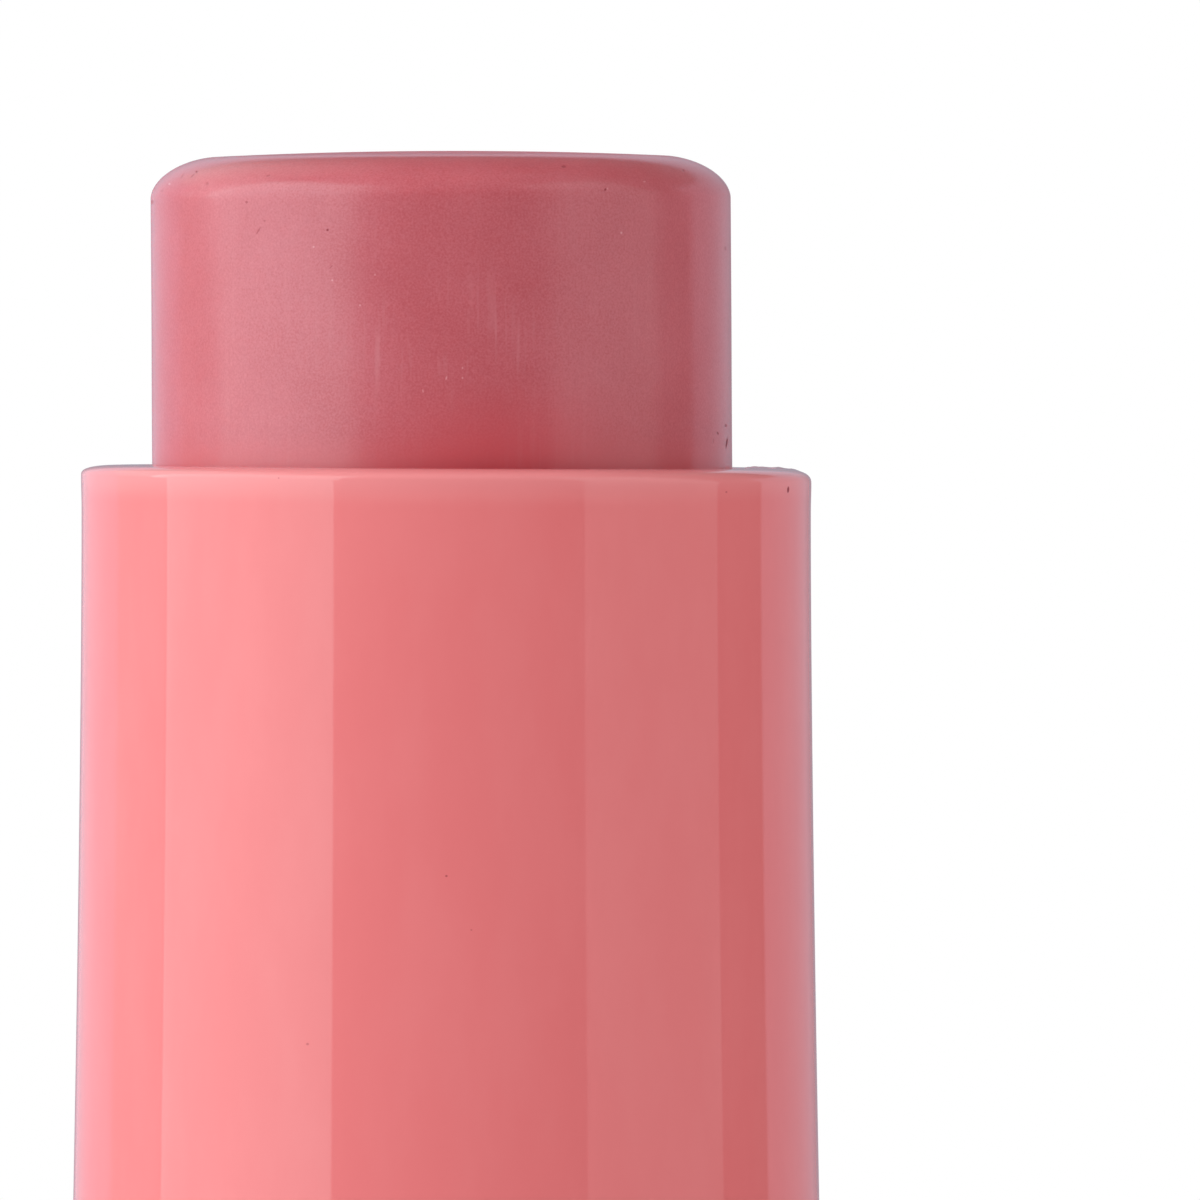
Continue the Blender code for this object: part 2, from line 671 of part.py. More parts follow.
def build_blush(axis, material):
    """The stick of blush, with a narrower foot in the cup and a blind bore for the screw."""
    top = BLUSH_TOP - BLUSH_BOTTOM
    foot = CUP_DEPTH
    bore = THREAD_CREST + SCREW_GAP
    foot_radius = CUP_INNER - PRESS_GAP
    lower = outline(
        (0, top - BLUSH_CAP),
        (bore, top - BLUSH_CAP),
        (bore, 0),
        (foot_radius, 0, BLUSH_FOOT_ROUND),
        (foot_radius, foot),
        (BLUSH_RADIUS - BLUSH_TAPER, foot),
    )
    points = [*lower, *reversed(crown_points(top))]
    level = BLUSH_BOTTOM - CARRIER_BOTTOM
    return make_object("blush_bullet", turned(points, SHOWN_STEPS), axis, level, material)


def main():
    for old in list(bpy.data.objects):
        bpy.data.objects.remove(old)
    coral = finish("coral_plastic", "e67e82", 0.12)
    milky = finish("milky_plastic", "ece6e0", 0.45)
    steel = finish("steel", "9b9a9c", 0.3, metallic=1.0)
    rubber = finish("rubber", "2c2a2b", 0.7)
    paper = finish("label_paper", "f3e4e1", 0.6)
    blush = finish("blush", "b9646c", 0.5)

    dial_axis = joint_axis("dial_axis", 0)
    build_dial_shell(dial_axis, coral)
    build_label(dial_axis, paper)
    build_ballast(dial_axis, steel)
    build_hub(dial_axis, milky)
    build_seal(dial_axis, rubber)
    build_spindle(dial_axis, milky)

    build_sleeve(coral)
    build_inner_tube(milky)
    build_barrel(coral)

    carrier_axis = joint_axis("carrier_axis", CARRIER_BOTTOM)
    build_carrier(carrier_axis, milky)
    build_blush(carrier_axis, blush)


main()
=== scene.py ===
"""The looks of a twist-up blush stick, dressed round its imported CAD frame.

The stick stands on a white floor between two softboxes, and the camera looks at it level and from close
to, so that the blush and the upper barrel fill the picture. Lengths are in metres in the frame's own
axes, +Z is up, and the camera looks along +Y. Every outer piece of the stick is turned anew at a fine
pitch, from the sizes of the CAD node that it stands for.
"""

import logging
import math
from collections.abc import Iterable, Sequence
from dataclasses import dataclass, field
from enum import Enum
from typing import Any

import bmesh
import bpy
from mathutils import Matrix, Vector, noise


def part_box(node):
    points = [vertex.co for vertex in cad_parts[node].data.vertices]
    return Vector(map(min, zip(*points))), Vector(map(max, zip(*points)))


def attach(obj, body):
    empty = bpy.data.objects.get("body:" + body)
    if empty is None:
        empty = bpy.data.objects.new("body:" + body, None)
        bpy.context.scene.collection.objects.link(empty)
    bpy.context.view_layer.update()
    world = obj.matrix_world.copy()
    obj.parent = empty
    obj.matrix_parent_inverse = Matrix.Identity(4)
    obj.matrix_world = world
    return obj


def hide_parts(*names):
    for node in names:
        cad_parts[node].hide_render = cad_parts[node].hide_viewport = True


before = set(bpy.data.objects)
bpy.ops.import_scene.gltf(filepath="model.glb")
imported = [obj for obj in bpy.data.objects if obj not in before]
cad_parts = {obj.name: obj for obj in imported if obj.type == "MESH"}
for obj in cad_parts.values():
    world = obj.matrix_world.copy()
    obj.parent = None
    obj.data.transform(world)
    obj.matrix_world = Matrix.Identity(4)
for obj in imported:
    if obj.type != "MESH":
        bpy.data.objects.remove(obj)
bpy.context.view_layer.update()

log = logging.getLogger("blush_stick")

# Short names of types
Material = bpy.types.Material
Mesh = bpy.types.Mesh
Socket = bpy.types.NodeSocket
Pair = tuple[float, float]
Triple = tuple[float, float, float]
Layer = tuple[Any, str]

MM = 0.001

# The picture: its frame is 1200 pixels wide, of which the blush's diameter of 16 mm takes 580
PIXEL = 16.0 * MM / 580
AXIS_PIXEL = 446.25
RIM_PIXEL = 466.5
RIM_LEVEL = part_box("barrel")[1].z
CAMERA_DISTANCE = 600 * MM
CAMERA_RISE = CAMERA_DISTANCE * math.tan(math.radians(0.33))

# How finely pieces are turned, and the most of a side that a rounding takes
SHOWN_COLUMNS = 384
PLAIN_COLUMNS = 192
ARC_STEPS = 10
ARC_SHARE = 0.49
PATH_RADIUS = 10 * MM
MERGE_DISTANCE = 0.0002 * MM
SHARP_ANGLE = math.radians(40)

# The colour inputs of Blender's Mix node, and the setting of a Map Range node that eases in and out
MIX_COLOUR_A, MIX_COLOUR_B = 6, 7
EASED = {"interpolation_type": "SMOOTHSTEP"}


class Body(Enum):
    """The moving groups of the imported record."""

    CASE = "body"
    DIAL = "dial"
    CARRIER = "carrier"


class Slot(Enum):
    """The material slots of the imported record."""

    CORAL = "coral_plastic"
    BLUSH = "blush"
    MILKY = "milky_plastic"
    LABEL = "label_paper"


def linear(hex_colour: str) -> tuple[float, float, float, float]:
    """Turn an sRGB hex value to a linear colour.

    Args:
        hex_colour: Six hex digits, such as e8787b.

    Returns:
        The linear red, green and blue shares with full alpha.
    """
    shares = [int(hex_colour[start : start + 2], 16) / 255 for start in (0, 2, 4)]
    red, green, blue = (s / 12.92 if s <= 0.04045 else ((s + 0.055) / 1.055) ** 2.4 for s in shares)
    return red, green, blue, 1.0


def put(name: str, data: bpy.types.ID) -> bpy.types.Object:
    """Put a new object in the scene.

    Args:
        name: Its name.
        data: The mesh, lamp or camera that it holds.

    Returns:
        The object.
    """
    made = bpy.data.objects.new(name, data)
    bpy.context.scene.collection.objects.link(made)
    return made


class Net:
    """A node tree in the making."""

    def __init__(self, tree: bpy.types.NodeTree) -> None:
        """Take the tree."""
        self.tree = tree

    def plug(self, node: bpy.types.Node, links: dict) -> None:
        """Set or link a node's inputs.

        Args:
            node: The node.
            links: An input's name or number, to its value or to the output that feeds it.
        """
        for key, value in links.items():
            if isinstance(value, Socket):
                self.tree.links.new(value, node.inputs[key])
            else:
                node.inputs[key].default_value = value

    def add(self, kind: str, links: dict | None = None, take: str = "", **settings: Any) -> Socket | None:
        """Add a node with its settings and links.

        Args:
            kind: The node's type name, in which ShaderNode is left out.
            links: Its inputs, as plug takes them.
            take: The output that is wanted, where it isn't the first in use.
            settings: The node's own attributes.

        Returns:
            That output, or None from a node without outputs.
        """
        node = self.tree.nodes.new(kind if "Node" in kind else "ShaderNode" + kind)
        for name, value in settings.items():
            setattr(node, name, value)
        self.plug(node, links or {})
        return node.outputs[take] if take else next((one for one in node.outputs if one.enabled), None)


@dataclass(frozen=True)
class Mark:
    """A small mark on the front of a round piece, placed and sized in pixels of the picture.

    The tilt is in degrees, to the right at the mark's top. Inside the core, a share of its size, the
    mark has its full strength.
    """

    name: str
    across: float
    down: float
    half_width: float
    half_height: float
    strength: float = 1.0
    tilt: float = 0.0
    core: float = 0.4

    def centre(self, radius: float) -> Triple:
        """Find the mark's centre on a round wall, allowing for the camera's perspective.

        Args:
            radius: The wall's radius.

        Returns:
            The centre, on the plane through the wall's axis.
        """
        offset = (self.across - AXIS_PIXEL) * PIXEL
        drop = (self.down - RIM_PIXEL) * PIXEL + CAMERA_RISE
        depth = -math.sqrt(max(0.0, radius * radius - offset * offset))
        nearness = 1 + depth / CAMERA_DISTANCE
        return offset * nearness, 0.0, RIM_LEVEL + CAMERA_RISE - drop * nearness


class Surface(Net):
    """A Principled material in the making, with its patterns on Object coordinates."""

    def __init__(self, name: str, hex_colour: str, **sockets: Any) -> None:
        """Make the material.

        Args:
            name: Its name.
            hex_colour: Its base colour as an sRGB hex value.
            sockets: The shader's other sockets, as finish takes them.
        """
        self.colour = linear(hex_colour)
        self.material = bpy.data.materials.new(name)
        self.material.use_nodes = True
        self.material.diffuse_color = self.colour
        super().__init__(self.material.node_tree)
        self.finish(**sockets)
        self.place = self.add("TexCoord", take="Object")

    def finish(
        self, layers: Iterable[Layer] = (), reliefs: Iterable[tuple[Socket, float]] = (), **sockets: Any
    ) -> Material:
        """Lay colours and reliefs over one another, and set or link the shader's sockets.

        Args:
            layers: The share and the sRGB hex value of each colour over the base colour.
            reliefs: The output and the full height of each relief, which is below 0 in a hollow.
            sockets: Names of other sockets, with _ for a space, to their values or outputs.

        Returns:
            The material.
        """
        shader = {name.replace("_", " "): value for name, value in sockets.items()}
        shader["Base Color"] = self.colour
        for share, hex_colour in layers:
            links = {"Factor": share, MIX_COLOUR_A: shader["Base Color"], MIX_COLOUR_B: linear(hex_colour)}
            shader["Base Color"] = self.add("Mix", links, data_type="RGBA")
        under: dict[str, Socket] = {}
        for relief, height in reliefs:
            links = {"Height": relief, "Distance": abs(height), "Strength": 1, **under}
            under = {"Normal": self.add("Bump", links, invert=height < 0)}
            shader["Normal"] = shader["Coat Normal"] = under["Normal"]
        self.plug(self.tree.nodes["Principled BSDF"], shader)
        return self.material

    def gather(self, radius: float, marks: Iterable[Mark]) -> Socket:
        """Gather marks on the front of a round piece in one mask.

        Args:
            radius: The piece's radius.
            marks: The marks.

        Returns:
            The output that is 1 on a full mark and 0 off every mark.
        """
        total = 0.0
        for mark in marks:
            size = (mark.half_width * PIXEL, 1, mark.half_height * PIXEL)
            links = {"Vector": self.place, "Location": mark.centre(radius), "Scale": size}
            links["Rotation"] = (0, math.radians(mark.tilt), 0)
            local = self.add("Mapping", links, vector_type="TEXTURE")
            off = self.add("VectorMath", {0: local}, operation="LENGTH")
            links = {"Value": off, "From Min": 1.0, "From Max": mark.core, "To Max": mark.strength}
            spot = self.add("MapRange", links, label=mark.name, **EASED)
            total = self.add("Math", {0: total, 1: spot}, operation="MAXIMUM")
        depth = self.add("SeparateXYZ", {"Vector": self.place}, "Y")
        front = self.add("Math", {0: depth, 1: 0.0}, operation="LESS_THAN")
        return self.add("Math", {0: total, 1: front}, operation="MULTIPLY")


@dataclass(frozen=True)
class CoralPlastic:
    """Glossy styrene plastic, injection-moulded in a polished tool and coloured coral all through.

    The polished tool leaves a surface in which lamps show with hard edges. What breaks it is a faint
    waviness where the plastic shrank, a pale clouding of the pigment along the flow, a paler hem of painted
    light on the barrel's rim, for the light that falls on its eased edge and passes through it, a dust of
    blush that dulls the rim's top, and a few specks of dark pigment on the barrel's front.
    """

    hex_colour: str = "e37375"
    cloud_hex: str = "e47678"
    # Painted light: a paler hem on the rim's eased edge, for the light that falls on it and passes through it
    rim_light_hex: str = "e78284"
    speck_hex: str = "861622"
    wall_radius: float = 10.06 * MM
    rim_light_depths: Pair = (1.0 * MM, 0.25 * MM)
    dusted_depths: Pair = (0.12 * MM, 0.03 * MM)
    dusted: float = 0.75
    roughness: float = 0.045
    ior: float = 1.55
    gloss_levels: Pair = (0.5, 0.05)
    cloud_size: float = 1.8 * MM
    cloud_stretch: float = 0.35
    cloud_roughness: float = 0.55
    cloud_span: Pair = (0.35, 0.7)
    wave_size: float = 2.2 * MM
    wave_height: float = 0.0010 * MM
    specks: tuple[Mark, ...] = (
        Mark("dark_mark", 789.0, 489.6, 1.3, 3.9, 0.95, 5.0, 0.6),
        Mark("rim_speck_right", 728.0, 492.0, 1.4, 1.2, 0.45),
        Mark("rim_speck_left", 281.0, 478.0, 1.3, 1.1, 0.35),
        Mark("left_speck", 83.5, 484.0, 1.4, 1.6, 0.4),
        Mark("middle_speck", 449.0, 876.0, 1.7, 1.4, 0.6),
        Mark("lower_speck", 474.0, 930.0, 1.3, 1.2, 0.35),
        Mark("bottom_speck", 310.0, 1044.0, 2.0, 1.7, 0.4),
    )

    def material(self) -> Material:
        """Build the material.

        Returns:
            The material.
        """
        surface = Surface("coral_plastic", self.hex_colour, Roughness=self.roughness, IOR=self.ior)
        place = surface.place
        along = surface.add("Mapping", {"Vector": place, "Scale": (1, 1, self.cloud_stretch)})
        links = {"Vector": along, "Scale": 1 / self.cloud_size, "Roughness": self.cloud_roughness}
        cloud = surface.add("TexNoise", {"Detail": 3, **links})
        first, last = self.cloud_span
        cloud = surface.add("MapRange", {"Value": cloud, "From Min": first, "From Max": last}, **EASED)
        height = surface.add("SeparateXYZ", {"Vector": place}, "Z")
        near_rim = []
        for (low, high), share in ((self.rim_light_depths, 1.0), (self.dusted_depths, self.dusted)):
            levels = {"From Min": RIM_LEVEL - low, "From Max": RIM_LEVEL - high}
            near_rim.append(surface.add("MapRange", {"Value": height, "To Max": share, **levels}, **EASED))
        # The first mask eases in the painted light of the rim's paler hem; the second, the blush dust that
        # dulls the rim's top
        painted_rim_light, dust = near_rim
        specks = surface.gather(self.wall_radius, self.specks)
        layers = (cloud, self.cloud_hex), (painted_rim_light, self.rim_light_hex), (specks, self.speck_hex)
        matt = surface.add("Math", {0: specks, 1: dust}, operation="MAXIMUM")
        glossy, dull = self.gloss_levels
        wave = surface.add("TexNoise", {"Vector": place, "Scale": 1 / self.wave_size, "Detail": 1})
        gloss = surface.add("MapRange", {"Value": matt, "To Min": glossy, "To Max": dull})
        return surface.finish(layers, [(wave, self.wave_height)], Specular_IOR_Level=gloss)


@dataclass(frozen=True)
class WaxBlush:
    """Pressed wax blush, rose mauve, poured in a smooth mould and drawn out of it.

    Wax and powder leave a satin surface: lamps show broad and soft, under a thin film of oil in which
    their edges can be told, the more so the flatter the light grazes it. The top is dabbed dull. Powder
    grain, drag lines along the stick, pale flecks with one painted highlight on a pit's lit edge, dull
    nicks, pits and scratches painted dark partly as dark specks and partly as the shade in their hollows,
    a redder ring painted just above the rim as the red light bounced from it, and a patch over the rim
    that a finger has wiped clear, break it up.
    """

    hex_colour: str = "ba545b"
    pale_hex: str = "c75c65"
    dark_hex: str = "b9444c"
    streak_hex: str = "cc747c"
    # Painted light: the redder ring just above the rim stands for red light bounced from the coral rim
    rim_bounce_light_hex: str = "cf565c"
    wiped_hex: str = "c84149"
    # Painted shade in part: nicks, pits and scratches are painted dark for the shade in their hollows,
    # besides dark specks
    nick_and_shade_hex: str = "8a2c36"
    fleck_hex: str = "e3a8ae"
    rim_bounce_levels: Triple = (48.6 * MM, 49.7 * MM, 51.1 * MM)
    sheen_hex: str = "d6f0ff"
    wall_radius: float = 8.0 * MM
    roughness: float = 0.46
    ior: float = 1.62
    sheen_levels: Pair = (0.5, 0.36)
    sheen_tilts: Pair = (0.35, 0.6)
    film_levels: Pair = (0.74, 0.15)
    top_levels: Pair = (58.5 * MM, 58.62 * MM)
    film_roughness: Pair = (0.21, 0.14)
    film_tilts: Pair = (0.1, 0.5)
    dull: float = 0.1
    film_ior: float = 1.47
    scatter: float = 0.35
    scatter_depth: Triple = (1.0 * MM, 0.3 * MM, 0.25 * MM)
    grain_size: float = 0.06 * MM
    grain_height: float = 0.0010 * MM
    drag_width: float = 0.15 * MM
    drag_stretch: float = 0.05
    drag_height: float = 0.0009 * MM
    drag_levels: Pair = (0.1, 0.6)
    cloud_size: float = 2.6 * MM
    speckle_span: Pair = (0.95, 2.05)
    streak_span: Pair = (0.52, 0.74)
    patch_span: Pair = (0.4, 0.55)
    nick_depth: float = 0.01 * MM
    wiped: tuple[Mark, ...] = (Mark("wiped_patch", 520.0, 478.0, 190.0, 120.0, 0.9, 0.0, 0.05),)
    dragged: tuple[Mark, ...] = (Mark("dragged_patch", 450.0, 345.0, 130.0, 85.0, 1.0, 0.0, 0.3),)
    nicks: tuple[Mark, ...] = (
        Mark("left_edge_nick", 152.9, 202.3, 2.0, 2.6, 0.7),
        Mark("shoulder_dot", 197.4, 171.6, 1.6, 1.3),
        Mark("shoulder_scuff", 193.5, 175.7, 0.9, 3.6, 0.6, 49.0),
        Mark("shoulder_scuff_left", 183.1, 175.6, 0.9, 4.0, 0.5, 27.0),
        Mark("left_speck", 162.8, 191.4, 1.5, 1.3, 0.4),
        Mark("shoulder_speck", 208.8, 183.5, 2.1, 1.9, 0.4),
        Mark("shoulder_smear", 270.0, 175.6, 3.2, 1.3, 0.45, -18.0),
        Mark("speck_below_shoulder", 248.3, 202.3, 2.0, 1.8, 0.5),
        Mark("speck_over_scratch", 266.4, 221.0, 1.6, 1.4, 0.4),
        Mark("scratch", 260.2, 231.0, 1.1, 5.2, 0.5, 31.0),
        Mark("dark_dot", 329.6, 230.0, 1.7, 1.5, 0.95),
        Mark("short_scratch", 333.1, 267.0, 0.9, 3.0, 0.4, 45.0),
        Mark("top_speck", 565.7, 166.4, 3.2, 1.9, 0.6),
        Mark("pit", 607.0, 189.6, 1.3, 1.8, 0.8, 20.0),
        Mark("right_shoulder_speck", 684.6, 170.0, 1.3, 1.9, 0.7, -30.0),
        Mark("right_edge_speck", 726.0, 248.5, 1.3, 3.0, 0.6),
        Mark("right_edge_cut", 727.3, 443.0, 1.3, 7.6, 0.95, 9.0),
        Mark("right_edge_pit", 726.3, 425.6, 1.6, 2.0, 0.8),
        Mark("right_edge_chip", 718.4, 433.4, 1.2, 2.2, 0.8, -30.0),
        Mark("right_edge_scuff", 714.0, 441.0, 0.9, 3.6, 0.4),
    )
    flecks: tuple[Mark, ...] = (
        Mark("shoulder_fleck", 170.2, 184.0, 1.7, 1.5, 0.35),
        Mark("fleck_left", 315.6, 247.0, 1.4, 1.4, 0.35),
        Mark("fleck_left_low", 334.2, 280.3, 1.4, 1.4, 0.35),
        Mark("fleck_middle_left", 377.0, 274.7, 1.3, 1.3, 0.3),
        Mark("fleck_middle", 362.0, 305.3, 1.4, 1.4, 0.35),
        # Painted highlight: the lit edge of the pit beside it
        Mark("pit_edge_highlight", 609.2, 188.6, 1.2, 1.4, 0.25),
        Mark("fleck_right", 646.0, 181.6, 1.7, 1.2, 0.35),
        Mark("fleck_right_low", 623.0, 232.8, 1.5, 1.7, 0.4),
        Mark("fleck_in_wiped", 448.4, 378.0, 1.1, 2.6, 0.45, 15.0),
        Mark("fleck_in_wiped_right", 464.6, 378.0, 1.2, 1.5, 0.4),
        Mark("fleck_in_wiped_top", 464.6, 368.0, 1.2, 1.6, 0.35),
        Mark("fleck_in_wiped_left", 425.0, 391.0, 1.1, 2.2, 0.35, -15.0),
    )

    def layers(self, surface: Surface, patterns: dict[str, Socket]) -> tuple[Layer, ...]:
        """Work out the layers of colour.

        Args:
            surface: The material in the making.
            patterns: The outputs of the height, the grain, the drag lines, the clouds and the nicks.

        Returns:
            The share and the sRGB hex value of each one, from the lowest up.
        """
        # The ring just above the rim is painted light, the red light bounced from the rim
        low, middle, high = self.rim_bounce_levels
        rim_bounce_light: float | Socket = 1.0
        for first, last in ((high, middle), (low, middle)):
            links = {"Value": patterns["height"], "From Min": first, "From Max": last, "To Max": rim_bounce_light}
            rim_bounce_light = surface.add("MapRange", links, **EASED)
        links = {0: patterns["grain"], 1: 2.0, 2: patterns["clouds"]}
        speckle = surface.add("Math", links, operation="MULTIPLY_ADD")
        least, most = self.drag_levels
        links = {"Value": surface.gather(self.wall_radius, self.dragged), "To Min": least, "To Max": most}
        reach = surface.add("MapRange", links)
        shares = []
        for value, (first, last), full in (
            (speckle, self.speckle_span, 1.0),
            (patterns["drag"], self.streak_span, 1.0),
            (patterns["clouds"], self.patch_span, reach),
        ):
            links = {"Value": value, "From Min": first, "From Max": last, "To Max": full}
            shares.append(surface.add("MapRange", links))
        speckle, line, patch = shares
        streaks = surface.add("Math", {0: line, 1: patch}, operation="MULTIPLY")
        return (
            (1.0, self.dark_hex),
            (speckle, self.pale_hex),
            (rim_bounce_light, self.rim_bounce_light_hex),
            (surface.gather(self.wall_radius, self.wiped), self.wiped_hex),
            (streaks, self.streak_hex),
            # Nicks painted dark: partly dark specks, partly painted shade in their hollows
            (patterns["nicks"], self.nick_and_shade_hex),
            (surface.gather(self.wall_radius, self.flecks), self.fleck_hex),
        )

    def gloss(self, surface: Surface, height: Socket, nicks: Socket) -> dict[str, Socket]:
        """Work out how the oil film, and the sheen under it, change over the stick.

        Args:
            surface: The material in the making.
            height: The output of the height.
            nicks: The output that is 1 in a nick.

        Returns:
            The outputs for the shader's sockets, by their names.
        """
        tilt = surface.add("LayerWeight", {"Blend": 0.5}, "Facing")
        made: dict[Any, Socket] = {}
        for name, value, (first, last), (before, after) in (
            ("Coat_Roughness", tilt, self.film_tilts, self.film_roughness),
            ("film", height, self.top_levels, self.film_levels),
            ("Coat_Weight", nicks, (0.0, 1.0), ("film", 0.0)),
            ("sheen", tilt, self.sheen_tilts, self.sheen_levels),
            ("Specular_IOR_Level", nicks, (0.0, 1.0), ("sheen", self.dull)),
        ):
            links = {"Value": value, "From Min": first, "From Max": last, "To Max": after}
            made[name] = surface.add("MapRange", {"To Min": made.pop(before, before), **links})
        return made

    def material(self) -> Material:
        """Build the material.

        Returns:
            The material.
        """
        surface = Surface("wax_blush", self.hex_colour, Roughness=self.roughness, IOR=self.ior)
        scatter = {"Subsurface_Weight": self.scatter, "Subsurface_Radius": self.scatter_depth}
        surface.finish(Subsurface_Scale=1.0, **scatter)
        surface.finish(Specular_Tint=linear(self.sheen_hex), Coat_IOR=self.film_ior)
        place = surface.place
        along = surface.add("Mapping", {"Vector": place, "Scale": (1, 1, self.drag_stretch)})
        patterns = {"height": surface.add("SeparateXYZ", {"Vector": place}, "Z")}
        for name, vector, size, detail in (
            ("grain", place, self.grain_size, 2),
            ("drag", along, self.drag_width, 2),
            ("clouds", place, self.cloud_size, 3),
        ):
            patterns[name] = surface.add("TexNoise", {"Vector": vector, "Scale": 1 / size, "Detail": detail})
        nicks = patterns["nicks"] = surface.gather(self.wall_radius, self.nicks)
        heights = {"drag": self.drag_height, "grain": self.grain_height, "nicks": -self.nick_depth}
        reliefs = [(patterns[name], height) for name, height in heights.items()]
        gloss = self.gloss(surface, patterns["height"], nicks)
        return surface.finish(self.layers(surface, patterns), reliefs, **gloss)


@dataclass(frozen=True)
class Grained:
    """A moulded surface with a fine grain, in colour and in relief, from the tool."""

    name: str
    hex_colour: str
    top_hex: str
    roughness: float
    ior: float
    grain_size: float
    grain_height: float
    scatter: float = 0.0
    depth: float = 0.0

    def material(self) -> Material:
        """Build the material.

        Returns:
            The material.
        """
        surface = Surface(self.name, self.hex_colour, Roughness=self.roughness, IOR=self.ior)
        if self.scatter:
            surface.finish(Subsurface_Weight=self.scatter, Subsurface_Scale=self.depth)
        grain = surface.add("TexNoise", {"Vector": surface.place, "Scale": 1 / self.grain_size, "Detail": 2})
        return surface.finish([(grain, self.top_hex)], [(grain, self.grain_height)])


@dataclass(frozen=True)
class MilkyPolypropylene(Grained):
    """Uncoloured polypropylene from a spark-eroded tool: satin, milky, a little light passes into it."""

    name: str = "milky_polypropylene"
    hex_colour: str = "d8d1c9"
    top_hex: str = "cec6be"
    roughness: float = 0.42
    ior: float = 1.49
    grain_size: float = 0.12 * MM
    grain_height: float = 0.0015 * MM
    scatter: float = 0.25
    depth: float = 0.6 * MM


@dataclass(frozen=True)
class NitrileRubber(Grained):
    """Black nitrile rubber, compression-moulded: matt, with a fine talc bloom."""

    name: str = "nitrile_rubber"
    hex_colour: str = "2a2829"
    top_hex: str = "3a3738"
    roughness: float = 0.68
    ior: float = 1.52
    grain_size: float = 0.06 * MM
    grain_height: float = 0.002 * MM


@dataclass(frozen=True)
class TurnedSteel:
    """Free-cutting steel, turned on a lathe: bright, with fine rings left by the tool round its axis."""

    hex_colour: str = "9b9a9c"
    roughness: float = 0.32
    ring_pitch: float = 0.12 * MM
    ring_height: float = 0.002 * MM
    ring_wobble: float = 0.4

    def material(self) -> Material:
        """Build the material.

        Returns:
            The material.
        """
        surface = Surface("turned_steel", self.hex_colour, Roughness=self.roughness, Metallic=1.0)
        links = {"Scale": 1 / (self.ring_pitch * math.tau), "Distortion": self.ring_wobble}
        settings = {"wave_type": "RINGS", "rings_direction": "Z"}
        rings = surface.add("TexWave", {"Vector": surface.place, **links}, "Fac", **settings)
        return surface.finish(reliefs=[(rings, self.ring_height)])


@dataclass(frozen=True)
class FilmLabel:
    """White polypropylene film label with a satin varnish, printed with a plain disc of the blush's shade."""

    hex_colour: str = "f0e6e2"
    ink_hex: str = "b8626a"
    roughness: float = 0.38
    ior: float = 1.49
    disc_radius: float = 3.4 * MM
    ring_radius: float = 6.9 * MM
    ring_width: float = 0.35 * MM
    edge: float = 0.05 * MM

    def material(self) -> Material:
        """Build the material, with a disc and a ring printed round the Z axis.

        Returns:
            The material.
        """
        surface = Surface("film_label", self.hex_colour, Roughness=self.roughness, IOR=self.ior)
        flat = surface.add("Mapping", {"Vector": surface.place, "Scale": (1, 1, 0)})
        radius = surface.add("VectorMath", {0: flat}, operation="LENGTH")
        ink = 0.0
        for middle, half in ((0.0, self.disc_radius), (self.ring_radius, self.ring_width / 2)):
            off = surface.add("Math", {0: radius, 1: middle}, operation="SUBTRACT")
            off = surface.add("Math", {0: off}, operation="ABSOLUTE")
            ring = surface.add("MapRange", {"Value": off, "From Min": half + self.edge, "From Max": half})
            ink = surface.add("Math", {0: ink, 1: ring}, operation="MAXIMUM")
        return surface.finish([(ink, self.ink_hex)])


@dataclass(frozen=True)
class Finishes:
    """Every material of the stick, made once."""

    coral: Material = field(default_factory=CoralPlastic().material)
    blush: Material = field(default_factory=WaxBlush().material)
    milky: Material = field(default_factory=MilkyPolypropylene().material)
    steel: Material = field(default_factory=TurnedSteel().material)
    rubber: Material = field(default_factory=NitrileRubber().material)
    label: Material = field(default_factory=FilmLabel().material)


def rounded_corner(before: Vector, corner: Vector, after: Vector, radius: float) -> list[Vector]:
    """Round one corner of an outline.

    Args:
        before: The outline's point before the corner.
        corner: The corner.
        after: The point after it.
        radius: The rounding's radius, cut down where a side is too short for it.

    Returns:
        The points of the arc.
    """
    arriving = corner - before
    leaving = after - corner
    side = min(arriving.length, leaving.length)
    arriving.normalize()
    leaving.normalize()
    turn = math.atan2(arriving.x * leaving.y - arriving.y * leaving.x, arriving.dot(leaving))
    half_turn = math.tan(abs(turn) / 2)
    radius = min(radius, ARC_SHARE * side / half_turn)
    start = corner - arriving * (radius * half_turn)
    inward = Vector((-arriving.y, arriving.x)) * math.copysign(radius, turn)
    steps = [turn * step / ARC_STEPS for step in range(ARC_STEPS + 1)]
    return [start + inward + Matrix.Rotation(angle, 2) @ -inward for angle in steps]


def outline(*corners: Sequence[float]) -> list[Vector]:
    """Draw an outline.

    Args:
        corners: Corners as (radius, height) or (radius, height, rounding).

    Returns:
        The outline's points as (radius, height).
    """
    points: list[Vector] = []
    places = [Vector(corner[:2]) for corner in corners]
    for index, corner in enumerate(corners):
        if len(corner) == 3:
            after = places[(index + 1) % len(places)]
            points += rounded_corner(places[index - 1], places[index], after, corner[2])
        else:
            points.append(places[index])
    return points


def run(start: Pair, end: Pair, pitch: float) -> list[Pair]:
    """Split a straight stretch of an outline, so that its shading stays even.

    Args:
        start: The (radius, height) that it starts at.
        end: The one that it ends at.
        pitch: The longest step.

    Returns:
        The points along it, with the start and without the end.
    """
    steps = max(1, math.ceil(math.dist(start, end) / pitch))
    return [tuple(Vector(start).lerp(Vector(end), step / steps)) for step in range(steps)]


